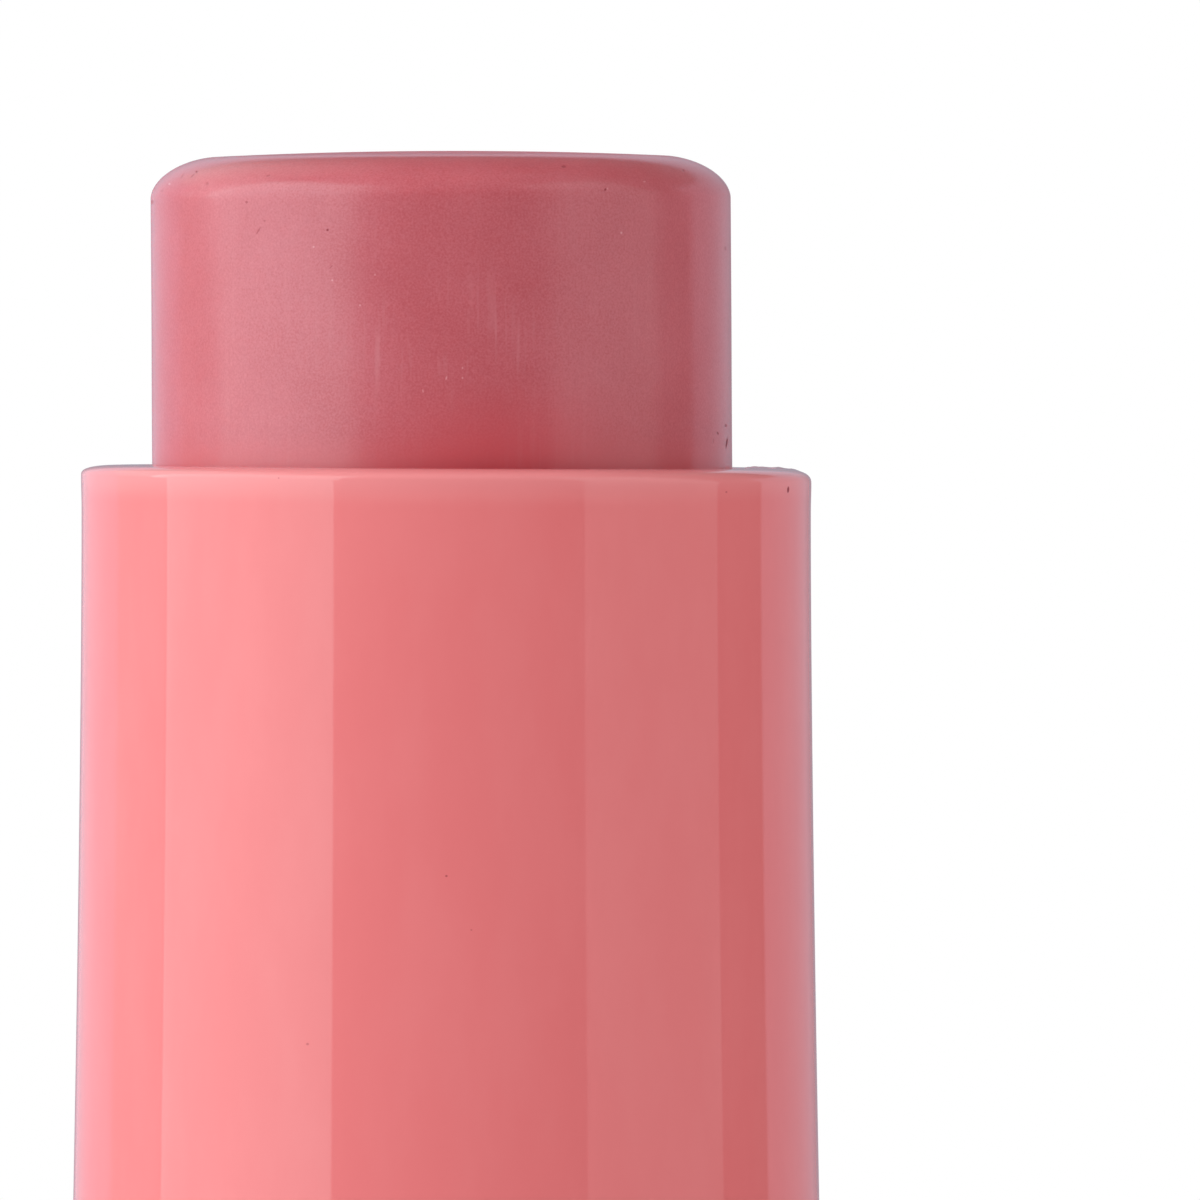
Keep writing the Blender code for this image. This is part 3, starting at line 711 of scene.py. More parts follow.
class Tree(Net):
    """A Geometry Nodes tree with named inputs, ending in Realize Instances and Set Material."""

    def __init__(self, name: str, inputs: dict[str, str]) -> None:
        """Open the tree.

        Args:
            name: The tree's name.
            inputs: Names of its inputs, to their socket types such as Float or Int.
        """
        super().__init__(bpy.data.node_groups.new(name, "GeometryNodeTree"))
        face = self.tree.interface
        self.identifiers = {
            key: face.new_socket(key, in_out="INPUT", socket_type="NodeSocket" + kind).identifier
            for key, kind in {"Geometry": "Geometry", "Finish": "Material", **inputs}.items()
        }
        face.new_socket("Geometry", in_out="OUTPUT", socket_type="NodeSocketGeometry")
        self.inputs = self.add("NodeGroupInput").node.outputs

    def close(self, result: Socket) -> None:
        """Lead the result through Realize Instances and Set Material to the output.

        Args:
            result: The output of the finished shape.
        """
        real = self.add("GeometryNodeRealizeInstances", {"Geometry": result})
        links = {"Geometry": real, "Material": self.inputs["Finish"]}
        self.add("NodeGroupOutput", {"Geometry": self.add("GeometryNodeSetMaterial", links)})


class TurningTree(Tree):
    """Turns a closed outline, or one that ends on the axis, round Z."""

    def __init__(self) -> None:
        """Build the tree."""
        super().__init__("turning", {"Columns": "Int", "Path radius": "Float", "Join": "Float"})
        profile = self.add("GeometryNodeMeshToCurve", {"Mesh": self.inputs["Geometry"]})
        links = {"Resolution": self.inputs["Columns"], "Radius": self.inputs["Path radius"]}
        path = self.add("GeometryNodeCurvePrimitiveCircle", links)
        swept = self.add("GeometryNodeCurveToMesh", {"Curve": path, "Profile Curve": profile})
        links = {"Geometry": swept, "Distance": self.inputs["Join"]}
        self.close(self.add("GeometryNodeMergeByDistance", links))


class FluteTree(Tree):
    """Presses round flutes into a turned wall between two levels, all round it."""

    def __init__(self) -> None:
        """Build the tree."""
        names = ("Count", "Depth", "Bottom", "Top", "Ramp", "Wall")
        super().__init__("flutes", dict.fromkeys(names, "Float"))
        given = self.inputs
        place = self.add("GeometryNodeInputPosition")
        axes = self.add("SeparateXYZ", {"Vector": place}).node.outputs
        flat = self.add("VectorMath", {0: place, 1: (1, 1, 0)}, operation="MULTIPLY")
        angle = self.add("Math", {0: axes["Y"], 1: axes["X"]}, operation="ARCTAN2")
        phase = self.add("Math", {0: angle, 1: given["Count"]}, operation="MULTIPLY")
        wave = self.add("Math", {0: phase}, operation="COSINE")
        shares = [self.add("MapRange", {"Value": wave, "From Min": 1, "From Max": -1})]
        for end, operation in (("Bottom", "ADD"), ("Top", "SUBTRACT")):
            full = self.add("Math", {0: given[end], 1: given["Ramp"]}, operation=operation)
            links = {"Value": axes["Z"], "From Min": given[end], "From Max": full}
            shares.append(self.add("MapRange", links, **EASED))
        radius = self.add("VectorMath", {0: flat}, operation="LENGTH")
        shares.append(self.add("Math", {0: radius, 1: given["Wall"]}, operation="GREATER_THAN"))
        depth = given["Depth"]
        for share in (*shares, -1.0):
            depth = self.add("Math", {0: depth, 1: share}, operation="MULTIPLY")
        outward = self.add("VectorMath", {0: flat}, operation="NORMALIZE")
        offset = self.add("VectorMath", {0: outward, "Scale": depth}, operation="SCALE")
        links = {"Geometry": given["Geometry"], "Offset": offset}
        self.close(self.add("GeometryNodeSetPosition", links))


class SpokeTree(Tree):
    """Sets equal blocks round the axis and adds them to a wall, or cuts them out of it."""

    def __init__(self, operation: str) -> None:
        """Build the tree.

        Args:
            operation: UNION or DIFFERENCE.
        """
        inputs = dict.fromkeys(("First angle", "Inner", "Outer", "Width", "Bottom", "Top"), "Float")
        super().__init__("spokes_" + operation.lower(), {"Count": "Int", **inputs})
        given = self.inputs
        middles, sizes = [], []
        for low, high in (("Inner", "Outer"), ("Bottom", "Top")):
            total = self.add("Math", {0: given[low], 1: given[high]}, operation="ADD")
            middles.append(self.add("Math", {0: total, 1: 0.5}, operation="MULTIPLY"))
            sizes.append(self.add("Math", {0: given[high], 1: given[low]}, operation="SUBTRACT"))
        ring = self.add("GeometryNodeMeshCircle", {"Vertices": given["Count"], "Radius": middles[0]})
        turn = self.add("CombineXYZ", {"Z": given["First angle"]})
        lift = self.add("CombineXYZ", {"Z": middles[1]})
        links = {"Geometry": ring, "Translation": lift, "Rotation": turn}
        places = self.add("GeometryNodeTransform", links)
        flat = {0: self.add("GeometryNodeInputPosition"), 1: (1, 1, 0)}
        outward = self.add("VectorMath", flat, operation="MULTIPLY")
        facing = self.add("FunctionNodeAlignRotationToVector", {"Vector": outward}, axis="X")
        size = self.add("CombineXYZ", {"X": sizes[0], "Y": given["Width"], "Z": sizes[1]})
        block = self.add("GeometryNodeMeshCube", {"Size": size})
        links = {"Points": places, "Instance": block, "Rotation": facing}
        blocks = self.add("GeometryNodeInstanceOnPoints", links)
        solid = self.add("GeometryNodeRealizeInstances", {"Geometry": blocks})
        first = "Mesh 2" if operation == "UNION" else "Mesh 1"
        links = {first: given["Geometry"]}
        change = self.add("GeometryNodeMeshBoolean", links, operation=operation, solver="EXACT")
        self.plug(change.node, {"Mesh 2": solid})
        self.close(change)


class Workpiece:
    """A piece in the making: an outline, and the trees that shape it in turn."""

    def __init__(self, points: Iterable[Sequence[float]], closed: bool = True) -> None:
        """Lay out the outline.

        Args:
            points: The outline as (radius, height).
            closed: Whether it closes on itself; otherwise both its ends lie on the axis.
        """
        places = [(radius - PATH_RADIUS, -height, 0) for radius, height in points]
        edges = [(index, index + 1) for index in range(len(places) - 1)]
        if closed:
            edges.append((len(places) - 1, 0))
        mesh = bpy.data.meshes.new("outline")
        mesh.from_pydata(places, edges, [])
        self.object = put("workpiece", mesh)

    def shape(self, tree: Tree, finish: Material, **values: float) -> "Workpiece":
        """Put a tree on the piece.

        Args:
            tree: The tree.
            finish: The material that it sets.
            values: Its other inputs, named with _ for a space.

        Returns:
            The same workpiece, for the next step.
        """
        change = self.object.modifiers.new(tree.tree.name, "NODES")
        change.node_group = tree.tree
        for name, value in {"Finish": finish, **values}.items():
            change[tree.identifiers[name.replace("_", " ")]] = value
        return self

    def turn(self, finish: Material, columns: int = SHOWN_COLUMNS) -> "Workpiece":
        """Turn the outline round Z."""
        sizes = {"Path_radius": PATH_RADIUS, "Join": MERGE_DISTANCE}
        return self.shape(TurningTree(), finish, Columns=columns, **sizes)

    def mesh(self) -> Mesh:
        """Take the finished mesh, with its faces pointing out, and clear the workpiece away.

        Returns:
            The mesh.
        """
        bpy.context.view_layer.update()
        graph = bpy.context.evaluated_depsgraph_get()
        made = bpy.data.meshes.new_from_object(self.object.evaluated_get(graph))
        bpy.data.objects.remove(self.object)
        shape = bmesh.new()
        shape.from_mesh(made)
        bmesh.ops.recalc_face_normals(shape, faces=shape.faces)
        shape.to_mesh(made)
        shape.free()
        made.shade_smooth()
        made.set_sharp_from_angle(angle=SHARP_ANGLE)
        return made


def install(name: str, mesh: Mesh, body: Body, slot: Slot, *replaced: str) -> None:
    """Put a finished mesh in the scene as a piece of the stick.

    Args:
        name: The piece's name.
        mesh: Its mesh, in place.
        body: The moving group that it rides on.
        slot: The material slot meant for its finish; not used.
        replaced: The CAD nodes that it stands for.
    """
    piece = put(name, mesh)
    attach(piece, body.value)
    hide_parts(*replaced)
    log.info("%s: %d faces on %s", name, len(mesh.polygons), body.value)


def smooth_copy(node: str, material: Material) -> Mesh:
    """Copy a CAD node's mesh and join its faces, so that its round walls shade smoothly.

    Args:
        node: The CAD node.
        material: The copy's material.

    Returns:
        The copy, in place.
    """
    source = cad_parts[node]
    mesh = source.data.copy()
    mesh.transform(source.matrix_world)
    shape = bmesh.new()
    shape.from_mesh(mesh)
    bmesh.ops.remove_doubles(shape, verts=shape.verts, dist=MERGE_DISTANCE)
    shape.to_mesh(mesh)
    shape.free()
    mesh.shade_smooth()
    mesh.set_sharp_from_angle(angle=SHARP_ANGLE)
    mesh.materials.clear()
    mesh.materials.append(material)
    return mesh


def dress(node: str, material: Material) -> None:
    """Give a CAD node that stays in sight its material.

    Args:
        node: The CAD node.
        material: The material.
    """
    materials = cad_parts[node].data.materials
    materials.clear()
    materials.append(material)
    log.info("%s: CAD node dressed in %s", node, material.name)


@dataclass
class Blush:
    """The stick of blush and the carrier that it stands in."""

    finishes: Finishes
    shoulder_width: float = 1.9 * MM
    shoulder_drop: float = 1.16 * MM
    shoulder_power: float = 1.85
    crown: float = 0.14 * MM
    lean: float = math.radians(0.33)
    crown_skew: float = math.radians(0.2)
    crown_skew_height: float = 3.0 * MM
    lean_level: float = 31.0 * MM
    bore: float = 3.6 * MM
    cap: float = 3.7 * MM
    foot_radius: float = 7.15 * MM
    foot_height: float = 5.5 * MM
    foot_round: float = 0.3 * MM
    edge_round: float = 0.15 * MM
    edge_heights: Pair = (1.0 * MM, 1.2 * MM)
    wall_pitch: float = 0.2 * MM
    cap_steps: int = 26
    sag_height: float = 0.008 * MM
    sag_size: float = 3.5 * MM

    def outline(self) -> list[Sequence[float]]:
        """Draw the stick's outline, from its bore round its foot and up to the middle of its top.

        Returns:
            The points as (radius, height).
        """
        low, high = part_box("blush_bullet")
        radius = high.x
        base, step_level = low.z, low.z + self.foot_height
        shoulder_level = high.z - self.crown - self.shoulder_drop
        edge = radius - self.shoulder_width
        lower = outline(
            (0, high.z - self.cap),
            (self.bore, high.z - self.cap),
            (self.bore, base),
            (self.foot_radius, base, self.foot_round),
            (self.foot_radius, step_level),
            (radius, step_level, self.edge_round),
            (radius, step_level + self.edge_heights[0]),
        )
        wall = run((radius, step_level + self.edge_heights[1]), (radius, shoulder_level), self.wall_pitch)
        first = math.pi / 2 - math.atan(2 * self.crown / edge * self.shoulder_width / self.shoulder_drop)
        fullness = 2 / self.shoulder_power
        shoulder, dome = [], [(edge, high.z - self.crown)]
        for step in range(self.cap_steps):
            angle = first * step / self.cap_steps
            across = edge + self.shoulder_width * math.cos(angle) ** fullness
            shoulder.append((across, shoulder_level + self.shoulder_drop * math.sin(angle) ** fullness))
            share = 1 - (step + 1) / self.cap_steps
            dome.append((edge * share, high.z - self.crown * share * share))
        return [*lower, *wall, *shoulder, *dome]

    def weather(self, mesh: Mesh) -> None:
        """Let the stick lean in its cup, and give its side the slight unevenness of poured wax.

        Args:
            mesh: The stick's mesh, changed in place.
        """
        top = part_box("blush_bullet")[1].z
        for vert in mesh.vertices:
            place = vert.co
            outward = Vector((place.x, place.y, 0)).normalized()
            place += outward * (noise.noise(place / self.sag_size) * self.sag_height)
            rise = max(0.0, place.z - self.lean_level)
            share = min(1.0, max(0.0, (place.z - top) / self.crown_skew_height + 1))
            place.z = min(top, place.z + place.x * math.tan(self.crown_skew) * share)
            place.x -= rise * math.tan(self.lean)
        mesh.update()

    def build(self) -> None:
        """Build the stick and the carrier."""
        mesh = Workpiece(self.outline(), closed=False).turn(self.finishes.blush).mesh()
        self.weather(mesh)
        install("blush_stick", mesh, Body.CARRIER, Slot.BLUSH, "blush_bullet")
        cup = smooth_copy("carrier_cup", self.finishes.milky)
        install("smooth_carrier", cup, Body.CARRIER, Slot.MILKY, "carrier_cup")


@dataclass
class Case:
    """The case that is held: the glossy barrel, the grip sleeve and the guide tube inside."""

    finishes: Finishes
    wall: float = 0.9 * MM
    lip_gap: float = 0.28 * MM
    rim_thickness: float = 1.2 * MM
    rim_flare: float = 0.015 * MM
    flare_steps: int = 10
    rim_skew: float = math.radians(0.3)
    skew_height: float = 8.0 * MM
    edge_width: float = 1.2 * MM
    edge_drop: float = 0.36 * MM
    edge_power: float = 2.8
    edge_steps: int = 24
    edge_uneven: float = 0.2
    rim_pitch: float = 0.1 * MM
    crumb_middle: Pair = (8.6 * MM, 0.4 * MM)
    crumb_reach: Pair = (1.2 * MM, 2.0 * MM)
    crumb_size: float = 0.3 * MM
    crumb_height: float = 0.07 * MM
    crumb_fullness: float = 0.2
    lip_round: float = 0.25 * MM
    waist_top: float = 1.2 * MM
    waist_bottom: float = 1.8 * MM
    flare_power: float = 1.5
    foot_flare: float = 0.31 * MM
    cap_bead_rise: float = 0.15 * MM
    cap_bead_half: float = 0.55 * MM
    cap_bead_above: float = 1.8 * MM
    snap_depth: float = 0.12 * MM
    foot_round: float = 0.2 * MM
    wall_pitch: float = 0.4 * MM
    notch_count: int = 4
    notch_width: float = 2.3 * MM
    notch_height: float = 1.7 * MM
    overrun: float = 0.5 * MM
    sleeve_wall: float = 1.24 * MM
    sleeve_lip: float = 0.9 * MM
    sleeve_lip_radius: float = 9.15 * MM
    sleeve_round: float = 0.45 * MM
    sleeve_inner_round: float = 0.15 * MM
    seam_round: float = 0.3 * MM

    def flare(self, level: float) -> float:
        """Find how far the barrel has flared below its waist.

        Args:
            level: The level, as a height.

        Returns:
            What it adds to the waist's radius there.
        """
        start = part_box("barrel")[1].z - self.waist_bottom
        share = (start - level) / (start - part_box("sleeve")[1].z)
        return self.foot_flare * max(0.0, share) ** self.flare_power

    def rim(self, waist: float, top: float, inner: float) -> list[Pair]:
        """Draw the rim: a slight flare under it, its eased outer edge and its flat top.

        Args:
            waist: The barrel's radius under the rim.
            top: The rim's level.
            inner: The radius that the flat top ends at.

        Returns:
            The points as (radius, height), from the wall up and inwards.
        """
        points = []
        for step in range(self.flare_steps):
            share = step / self.flare_steps
            radius = waist + self.rim_flare * share * share * (3 - 2 * share)
            points.append((radius, top - self.waist_top + (self.waist_top - self.edge_drop) * share))
        edge = waist + self.rim_flare - self.edge_width
        for step in range(self.edge_steps):
            angle = math.pi / 2 * step / self.edge_steps
            across, up = math.cos(angle) ** (2 / self.edge_power), math.sin(angle) ** (2 / self.edge_power)
            points.append((edge + self.edge_width * across, top + self.edge_drop * (up - 1)))
        return [*points, *run((edge, top), (inner, top), self.rim_pitch)]

    def weather(self, mesh: Mesh, waist: float, top: float) -> None:
        """Skew the rim slightly, ease its edge more on the right, and leave crumbs of blush on it there.

        Args:
            mesh: The barrel's mesh, changed in place.
            waist: The barrel's radius under the rim.
            top: The rim's level.
        """
        for vert in mesh.vertices:
            place = vert.co
            depth = top - place.z
            share = min(1.0, max(0.0, 1 - depth / self.skew_height))
            eased = share * share * (3 - 2 * share)
            if math.hypot(place.x, place.y) > waist - self.edge_width:
                fall = min(1.0, max(0.0, (self.waist_top - depth) / (self.waist_top - self.edge_drop)))
                place.z -= min(depth, self.edge_drop) * fall * self.edge_uneven * place.x / waist
            if depth < self.rim_pitch:
                off = [(place[axis] - self.crumb_middle[axis]) / self.crumb_reach[axis] for axis in (0, 1)]
                bulge = max(0.0, noise.noise(place / self.crumb_size) + self.crumb_fullness)
                place.z += bulge * max(0.0, 1 - math.hypot(*off) ** 2) * self.crumb_height
            place.z -= place.x * math.tan(self.rim_skew) * eased

    def build_barrel(self) -> None:
        """Build the glossy barrel, with the cap's snap bead and the notches in its foot."""
        low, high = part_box("barrel")
        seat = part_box("sleeve")[1].z
        bead = seat + self.cap_bead_above
        waist = high.x - self.cap_bead_rise - self.flare(bead)
        foot = waist + self.foot_flare
        bore = waist - self.wall
        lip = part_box("blush_bullet")[1].x + self.lip_gap
        snap = (low.z + seat) / 2
        half, ease = self.cap_bead_half, self.foot_round
        top = high.z - self.waist_bottom
        first = bead + half + self.wall_pitch
        steps = math.ceil((top - first) / self.wall_pitch)
        side = [first + (top - first) * step / steps for step in range(steps + 1)]
        points = outline(
            (bore, low.z),
            (foot, low.z, ease),
            *run((foot, low.z + 2 * ease), (foot, snap - half), self.wall_pitch),
            (foot, snap - half, ease),
            (foot - self.snap_depth, snap, ease),
            (foot, snap + half, ease),
            *run((foot, snap + 2 * half), (foot, seat), self.wall_pitch),
            (waist + self.flare(bead - 2 * half), bead - 2 * half),
            (waist + self.flare(bead - half), bead - half, ease),
            (waist + self.flare(bead) + self.cap_bead_rise, bead, ease),
            (waist + self.flare(bead + half), bead + half, ease),
            *((waist + self.flare(level), level) for level in side),
            *self.rim(waist, high.z, lip + 2 * self.lip_round),
            (lip, high.z, self.lip_round),
            (lip, high.z - self.rim_thickness, self.seam_round),
            (bore, high.z - self.rim_thickness),
        )
        piece = Workpiece(points).turn(self.finishes.coral)
        piece.shape(
            SpokeTree("DIFFERENCE"),
            self.finishes.coral,
            Count=self.notch_count,
            First_angle=math.pi / self.notch_count,
            Inner=bore - self.overrun,
            Outer=foot + self.overrun,
            Width=self.notch_width,
            Bottom=low.z - self.overrun,
            Top=low.z + self.notch_height,
        )
        mesh = piece.mesh()
        self.weather(mesh, waist, high.z)
        install("glossy_barrel", mesh, Body.CASE, Slot.CORAL, "barrel")

    def build_sleeve(self) -> None:
        """Build the grip sleeve, whose top face stops the cap."""
        low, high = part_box("sleeve")
        inner = high.x - self.sleeve_wall
        snap = (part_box("barrel")[0].z + high.z) / 2
        points = outline(
            (self.sleeve_lip_radius, low.z),
            (high.x, low.z, self.seam_round),
            *run((high.x, low.z + 2 * self.seam_round), (high.x, high.z - self.sleeve_lip), self.wall_pitch),
            (high.x, high.z, self.sleeve_round),
            (inner, high.z, self.sleeve_inner_round),
            (inner, snap + self.cap_bead_half),
            (inner - self.snap_depth, snap),
            (inner, snap - self.cap_bead_half),
            (inner, low.z + self.sleeve_lip),
            (self.sleeve_lip_radius, low.z + self.sleeve_lip),
        )
        mesh = Workpiece(points).turn(self.finishes.coral).mesh()
        install("grip_sleeve", mesh, Body.CASE, Slot.CORAL, "sleeve")

    def build(self) -> None:
        """Build the case."""
        self.build_barrel()
        self.build_sleeve()
        tube = smooth_copy("inner_tube", self.finishes.milky)
        install("smooth_tube", tube, Body.CASE, Slot.MILKY, "inner_tube")


@dataclass
class Dial:
    """The twist base: its fluted shell and label, and the hub, ballast, seal and screw inside."""

    finishes: Finishes
    wall: float = 1.35 * MM
    floor_top: float = 1.6 * MM
    recess_depth: float = 0.5 * MM
    recess_gap: float = 0.2 * MM
    foot_round: float = 1.1 * MM
    recess_round: float = 0.12 * MM
    top_round: float = 0.3 * MM
    wall_pitch: float = 0.12 * MM
    flute_count: int = 36
    flute_columns: int = 12
    flute_depth: float = 0.28 * MM
    flute_bottom: float = 2.0 * MM
    flute_top_below: float = 1.3 * MM
    flute_ramp: float = 0.6 * MM
    fin_count: int = 4
    fin_width: float = 1.2 * MM
    fin_height: float = 3.0 * MM
    fin_inner: float = 9.35 * MM
    sink: float = 0.3 * MM
    label_round: float = 0.06 * MM

    def build_shell(self) -> None:
        """Build the fluted shell."""
        low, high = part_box("dial_shell")
        inner = high.x - self.wall
        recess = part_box("shade_label")[1].x + self.recess_gap
        side = (high.x, 1.5 * self.foot_round), (high.x, high.z - 2 * self.top_round)
        points = outline(
            (0, self.recess_depth),
            (recess, self.recess_depth),
            (recess, low.z, self.recess_round),
            (high.x, low.z, self.foot_round),
            *run(*side, self.wall_pitch),
            (high.x, high.z, self.top_round),
            (inner, high.z),
            (inner, self.floor_top),
            (0, self.floor_top),
        )
        coral = self.finishes.coral
        piece = Workpiece(points, closed=False).turn(coral, self.flute_columns * self.flute_count)
        piece.shape(
            FluteTree(),
            coral,
            Count=float(self.flute_count),
            Depth=self.flute_depth,
            Bottom=self.flute_bottom,
            Top=high.z - self.flute_top_below,
            Ramp=self.flute_ramp,
            Wall=inner + self.flute_depth,
        )
        piece.shape(
            SpokeTree("UNION"),
            coral,
            Count=self.fin_count,
            First_angle=0.0,
            Inner=self.fin_inner,
            Outer=inner + self.sink,
            Width=self.fin_width,
            Bottom=self.floor_top - self.sink,
            Top=self.floor_top + self.fin_height,
        )
        install("fluted_dial", piece.mesh(), Body.DIAL, Slot.CORAL, "dial_shell")

    def build_label(self) -> None:
        """Build the shade label in its recess."""
        low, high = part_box("shade_label")
        edge = [(high.x, level, self.label_round) for level in (low.z, high.z)]
        points = outline((0, low.z), *edge, (0, high.z))
        mesh = Workpiece(points, closed=False).turn(self.finishes.label, PLAIN_COLUMNS).mesh()
        install("round_label", mesh, Body.DIAL, Slot.LABEL, "shade_label")

    def build(self) -> None:
        """Build the dial."""
        self.build_shell()
        self.build_label()
        dress("dial_hub", self.finishes.milky)
        dress("spindle", self.finishes.milky)
        dress("ballast_ring", self.finishes.steel)
        dress("o_ring", self.finishes.rubber)


@dataclass(frozen=True)
class Softbox:
    """One upright softbox, square to the stick, between two azimuths seen from the stick."""

    name: str
    first_azimuth: float
    last_azimuth: float
    distance: float
    span: Pair
    radiance: float
    mirrored: bool = True
    hex_colour: str = "ffffff"

    def build(self) -> None:
        """Hang the lamp. Azimuths are in degrees from the camera's side, to the right."""
        middle = math.radians((self.first_azimuth + self.last_azimuth) / 2)
        half = math.radians((self.last_azimuth - self.first_azimuth) / 2)
        lamp = bpy.data.lights.new(self.name, "AREA")
        lamp.shape = "RECTANGLE"
        lamp.size = 2 * self.distance * math.tan(half)
        lamp.size_y = self.span[1] - self.span[0]
        lamp.energy = self.radiance * math.pi * lamp.size * lamp.size_y
        lamp.color = linear(self.hex_colour)[:3]
        stand = put(self.name, lamp)
        outward = Vector((math.sin(middle), -math.cos(middle), 0))
        stand.location = outward * self.distance + Vector((0, 0, sum(self.span) / 2))
        stand.rotation_euler = (-outward).to_track_quat("-Z", "Y").to_euler()
        stand.visible_camera = False
        stand.visible_glossy = self.mirrored
        log.info("%s: %.0f mm wide, %.2f W", self.name, lamp.size / MM, lamp.energy)


@dataclass
class Studio:
    """The floor, the world, the lamps and the camera."""

    floor_half: float = 0.3
    floor_gap: float = 0.02 * MM
    floor_hex: str = "e6e6e6"
    floor_lift: float = 0.5
    ambient: Pair = (0.72, 0.42)
    room: float = 0.03
    wall_low: Pair = (0.6, 0.07)
    wall_high: Triple = (0.95, 0.15, 0.18)
    wall_rise: Pair = (2.0, 7.0)
    ceiling: float = 0.35
    ceiling_rise: Pair = (30.0, 50.0)
    table: float = 0.4
    table_dip: Pair = (-2.0, -4.0)
    backdrop: Pair = (0.87, 0.62)
    backdrop_hex: str = "e9ecff"
    backdrop_azimuths: Pair = (119.0, 233.0)
    backdrop_blur: float = 1.0
    backdrop_tops: Pair = (22.0, 23.0)
    top_blur: float = 0.06
    shaded: float = 0.42
    shaded_azimuths: Pair = (20.0, 8.0)
    frame_width: float = 1200 * PIXEL
    sensor: float = 36.0
    lamps: tuple[Softbox, ...] = (
        Softbox("left_softbox_hem", -98.0, -35.0, 0.5, (-0.08, 0.07), 1.47, True, "e6ffff"),
        Softbox("left_softbox", -106.0, -33.0, 0.5, (0.07, 0.82), 1.75, True, "e6ffff"),
        Softbox("left_fill", -109.0, -43.0, 0.5, (0.07, 0.82), 1.75, False, "e6ffff"),
        Softbox("right_softbox_hem", 44.3, 95.0, 0.5, (-0.08, 0.07), 0.52),
        Softbox("right_softbox", 44.3, 96.0, 0.5, (0.07, 0.82), 0.72),
        Softbox("right_fill", 44.3, 96.0, 0.5, (0.07, 0.82), 0.25, False),
    )

    def build_floor(self) -> None:
        """Lay the floor close under the stick. It shows white to the camera and keeps the stick's shadow."""
        half, level = self.floor_half, -self.floor_gap
        corners = [(-half, -half, level), (half, -half, level), (half, half, level), (-half, half, level)]
        mesh = bpy.data.meshes.new("studio_floor")
        mesh.from_pydata(corners, [], [(0, 1, 2, 3)])
        material = bpy.data.materials.new("white_paper")
        material.use_nodes = True
        net = Net(material.node_tree)
        net.tree.nodes.remove(net.tree.nodes["Principled BSDF"])
        paper = net.add("BsdfDiffuse", {"Color": linear(self.floor_hex)})
        seen = net.add("LightPath", take="Is Camera Ray")
        lift = net.add("Math", {0: seen, 1: self.floor_lift}, operation="MULTIPLY")
        both = net.add("AddShader", {0: paper, 1: net.add("Emission", {"Strength": lift})})
        net.plug(net.tree.nodes["Material Output"], {"Surface": both})
        mesh.materials.append(material)
        put("studio_floor", mesh)

    def reflections(self, net: Net) -> Socket:
        """Sketch the studio as it shows in gloss: a dim room, walls, ceiling and table, and the backdrop.

        Args:
            net: The world's node tree.

        Returns:
            The colour's output.
        """
        direction = net.add("TexCoord", take="Generated")
        axes = net.add("SeparateXYZ", {"Vector": direction}).node.outputs
        flat = net.add("VectorMath", {0: direction, 1: (1, 1, 0)}, operation="MULTIPLY")
        flat = net.add("VectorMath", {0: flat}, operation="NORMALIZE")
        middle = math.radians(sum(self.backdrop_azimuths) / 2)
        half = (self.backdrop_azimuths[1] - self.backdrop_azimuths[0]) / 2
        links = {0: flat, 1: (math.sin(middle), -math.cos(middle), 0)}
        behind = net.add("VectorMath", links, operation="DOT_PRODUCT")
        rises = (self.wall_rise, self.ceiling_rise, self.table_dip, self.backdrop_tops)
        walls, roof, table, tops = ([math.sin(math.radians(angle)) for angle in pair] for pair in rises)
        turns = ((half + self.backdrop_blur, half - self.backdrop_blur), self.shaded_azimuths)
        edge, shade = ([math.cos(math.radians(angle)) for angle in pair] for pair in turns)
        made: dict[Any, Socket] = {}
        for name, along, (first, last), before, after in (
            ("low", axes["X"], (-0.3, 0.3), *self.wall_low),
            ("high_side", axes["X"], (-0.4, 0.0), *self.wall_high[:2]),
            ("high", axes["X"], (0.1, 0.4), "high_side", self.wall_high[2]),
            ("wall", axes["Z"], walls, "low", "high"),
            ("around", axes["Y"], (0.1, 0.2), self.room, "wall"),
            ("overhead", axes["Y"], (0.3, 0.2), "around", self.ceiling),
            ("roofed", axes["Z"], roof, "around", "overhead"),
            ("grey", axes["Z"], table, "roofed", self.table),
            ("white", axes["X"], (-0.3, 0.3), *self.backdrop),
            ("shade", axes["Z"], (0.08, 0.25), self.shaded, "white"),
            ("white_shaded", behind, shade, "white", "shade"),
            ("across", behind, edge, 0.0, 1.0),
            ("top", axes["X"], (-0.05, 0.15), *tops),
            ("top_end", axes["X"], (-0.05, 0.15), *(top + self.top_blur for top in tops)),
            ("card", axes["Z"], ("top", "top_end"), "across", 0.0),
        ):
            span = {"From Min": made.get(first, first), "From Max": made.get(last, last)}
            ends = {"To Min": made.get(before, before), "To Max": made.get(after, after)}
            made[name] = net.add("MapRange", {"Value": along, **span, **ends}, label=name, **EASED)
        links = {0: linear(self.backdrop_hex)[:3], "Scale": made["white_shaded"]}
        white = net.add("VectorMath", links, operation="SCALE")
        links = {"Factor": made["card"], MIX_COLOUR_A: made["grey"], MIX_COLOUR_B: white}
        return net.add("Mix", links, data_type="RGBA")

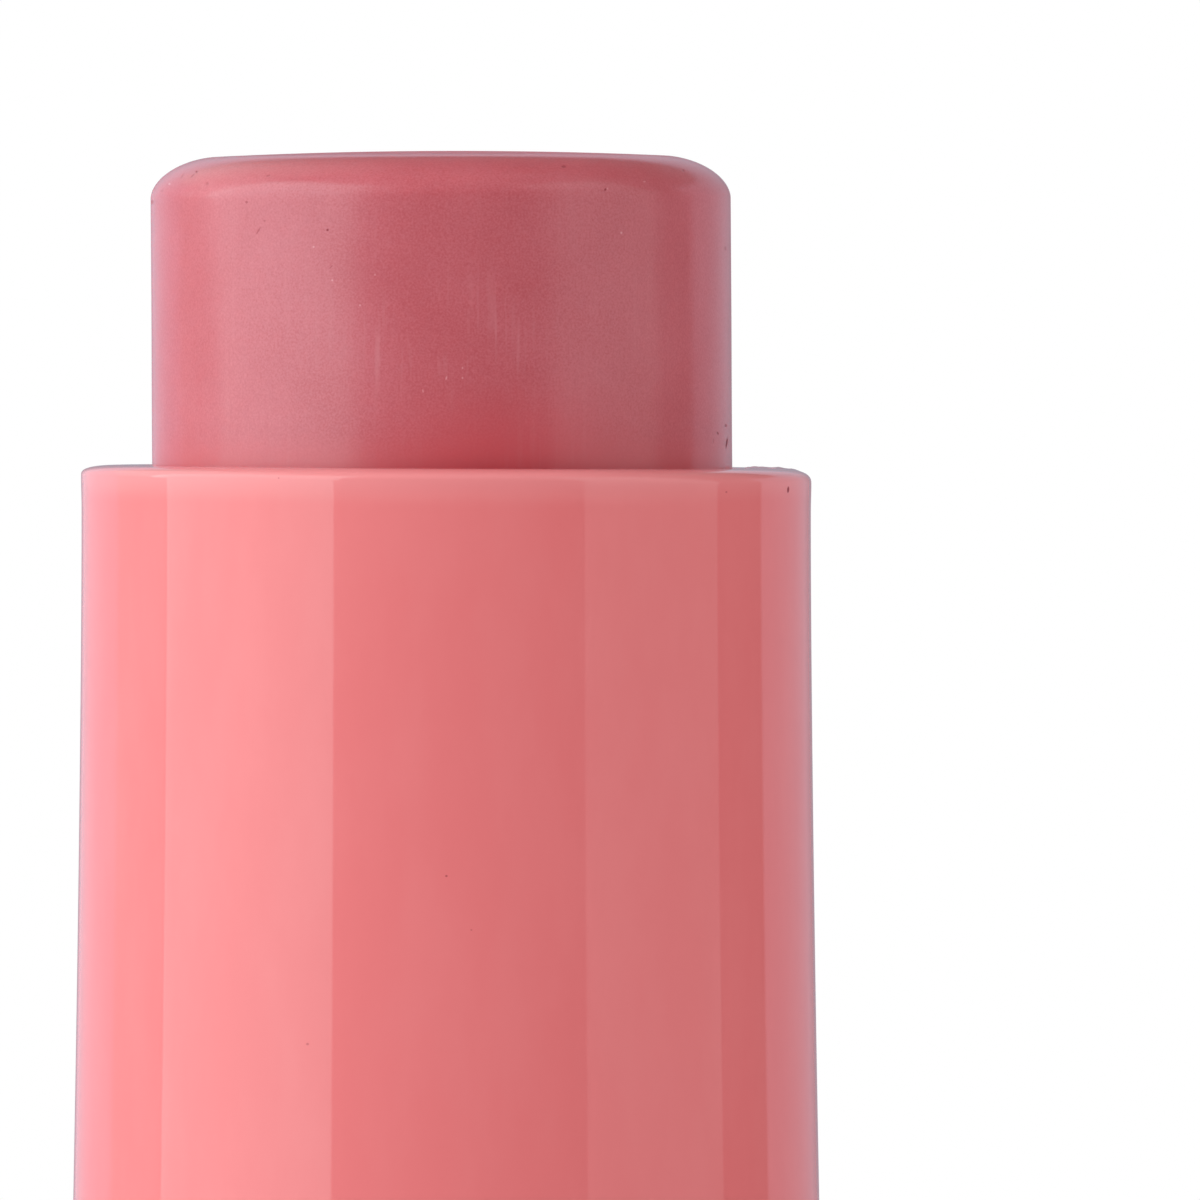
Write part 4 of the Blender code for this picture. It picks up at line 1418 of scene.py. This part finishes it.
    def build_world(self) -> None:
        """Light the world: white to the camera, the sketched studio in gloss, else plain grey."""
        world = bpy.data.worlds.new("studio_world")
        bpy.context.scene.world = world
        world.use_nodes = True
        net = Net(world.node_tree)
        rays = net.add("LightPath").node.outputs
        links = {0: rays["Is Glossy Ray"], 1: rays["Is Transmission Ray"]}
        mirrored = net.add("Math", links, operation="MAXIMUM")
        height = net.add("SeparateXYZ", {"Vector": net.add("TexCoord", take="Generated")}, "Z")
        low, high = self.ambient
        light = net.add("MapRange", {"Value": height, "To Min": low, "To Max": high})
        white = linear("ffffff")
        for share, colour in ((mirrored, self.reflections(net)), (rays["Is Camera Ray"], white)):
            links = {"Factor": share, MIX_COLOUR_A: light, MIX_COLOUR_B: colour}
            light = net.add("Mix", links, data_type="RGBA")
        net.plug(net.tree.nodes["Background"], {"Color": light})

    def build_camera(self) -> None:
        """Set the camera in front of the stick, just above its rim, with the picture's framing."""
        half_frame = 600
        rise = (RIM_PIXEL - half_frame) * PIXEL
        centre = Vector(((half_frame - AXIS_PIXEL) * PIXEL, 0, RIM_LEVEL + rise))
        data = bpy.data.cameras.new("camera")
        data.sensor_width = self.sensor
        data.lens = self.sensor * CAMERA_DISTANCE / self.frame_width
        data.clip_start = CAMERA_DISTANCE / 100
        data.clip_end = CAMERA_DISTANCE * 100
        camera = put("camera", data)
        camera.location = (centre.x, -CAMERA_DISTANCE, RIM_LEVEL + CAMERA_RISE)
        camera.rotation_euler = (centre - camera.location).to_track_quat("-Z", "Y").to_euler()
        bpy.context.scene.camera = camera

    def build(self) -> None:
        """Build the studio."""
        self.build_floor()
        self.build_world()
        for lamp in self.lamps:
            lamp.build()
        self.build_camera()
        bpy.context.scene.view_settings.view_transform = "Standard"


def main() -> None:
    """Build the studio and dress every sub-assembly of the stick."""
    logging.basicConfig(level=logging.INFO, format="%(name)s: %(message)s")
    Studio().build()
    finishes = Finishes()
    Case(finishes).build()
    Dial(finishes).build()
    Blush(finishes).build()


if __name__ == "__main__":
    main()
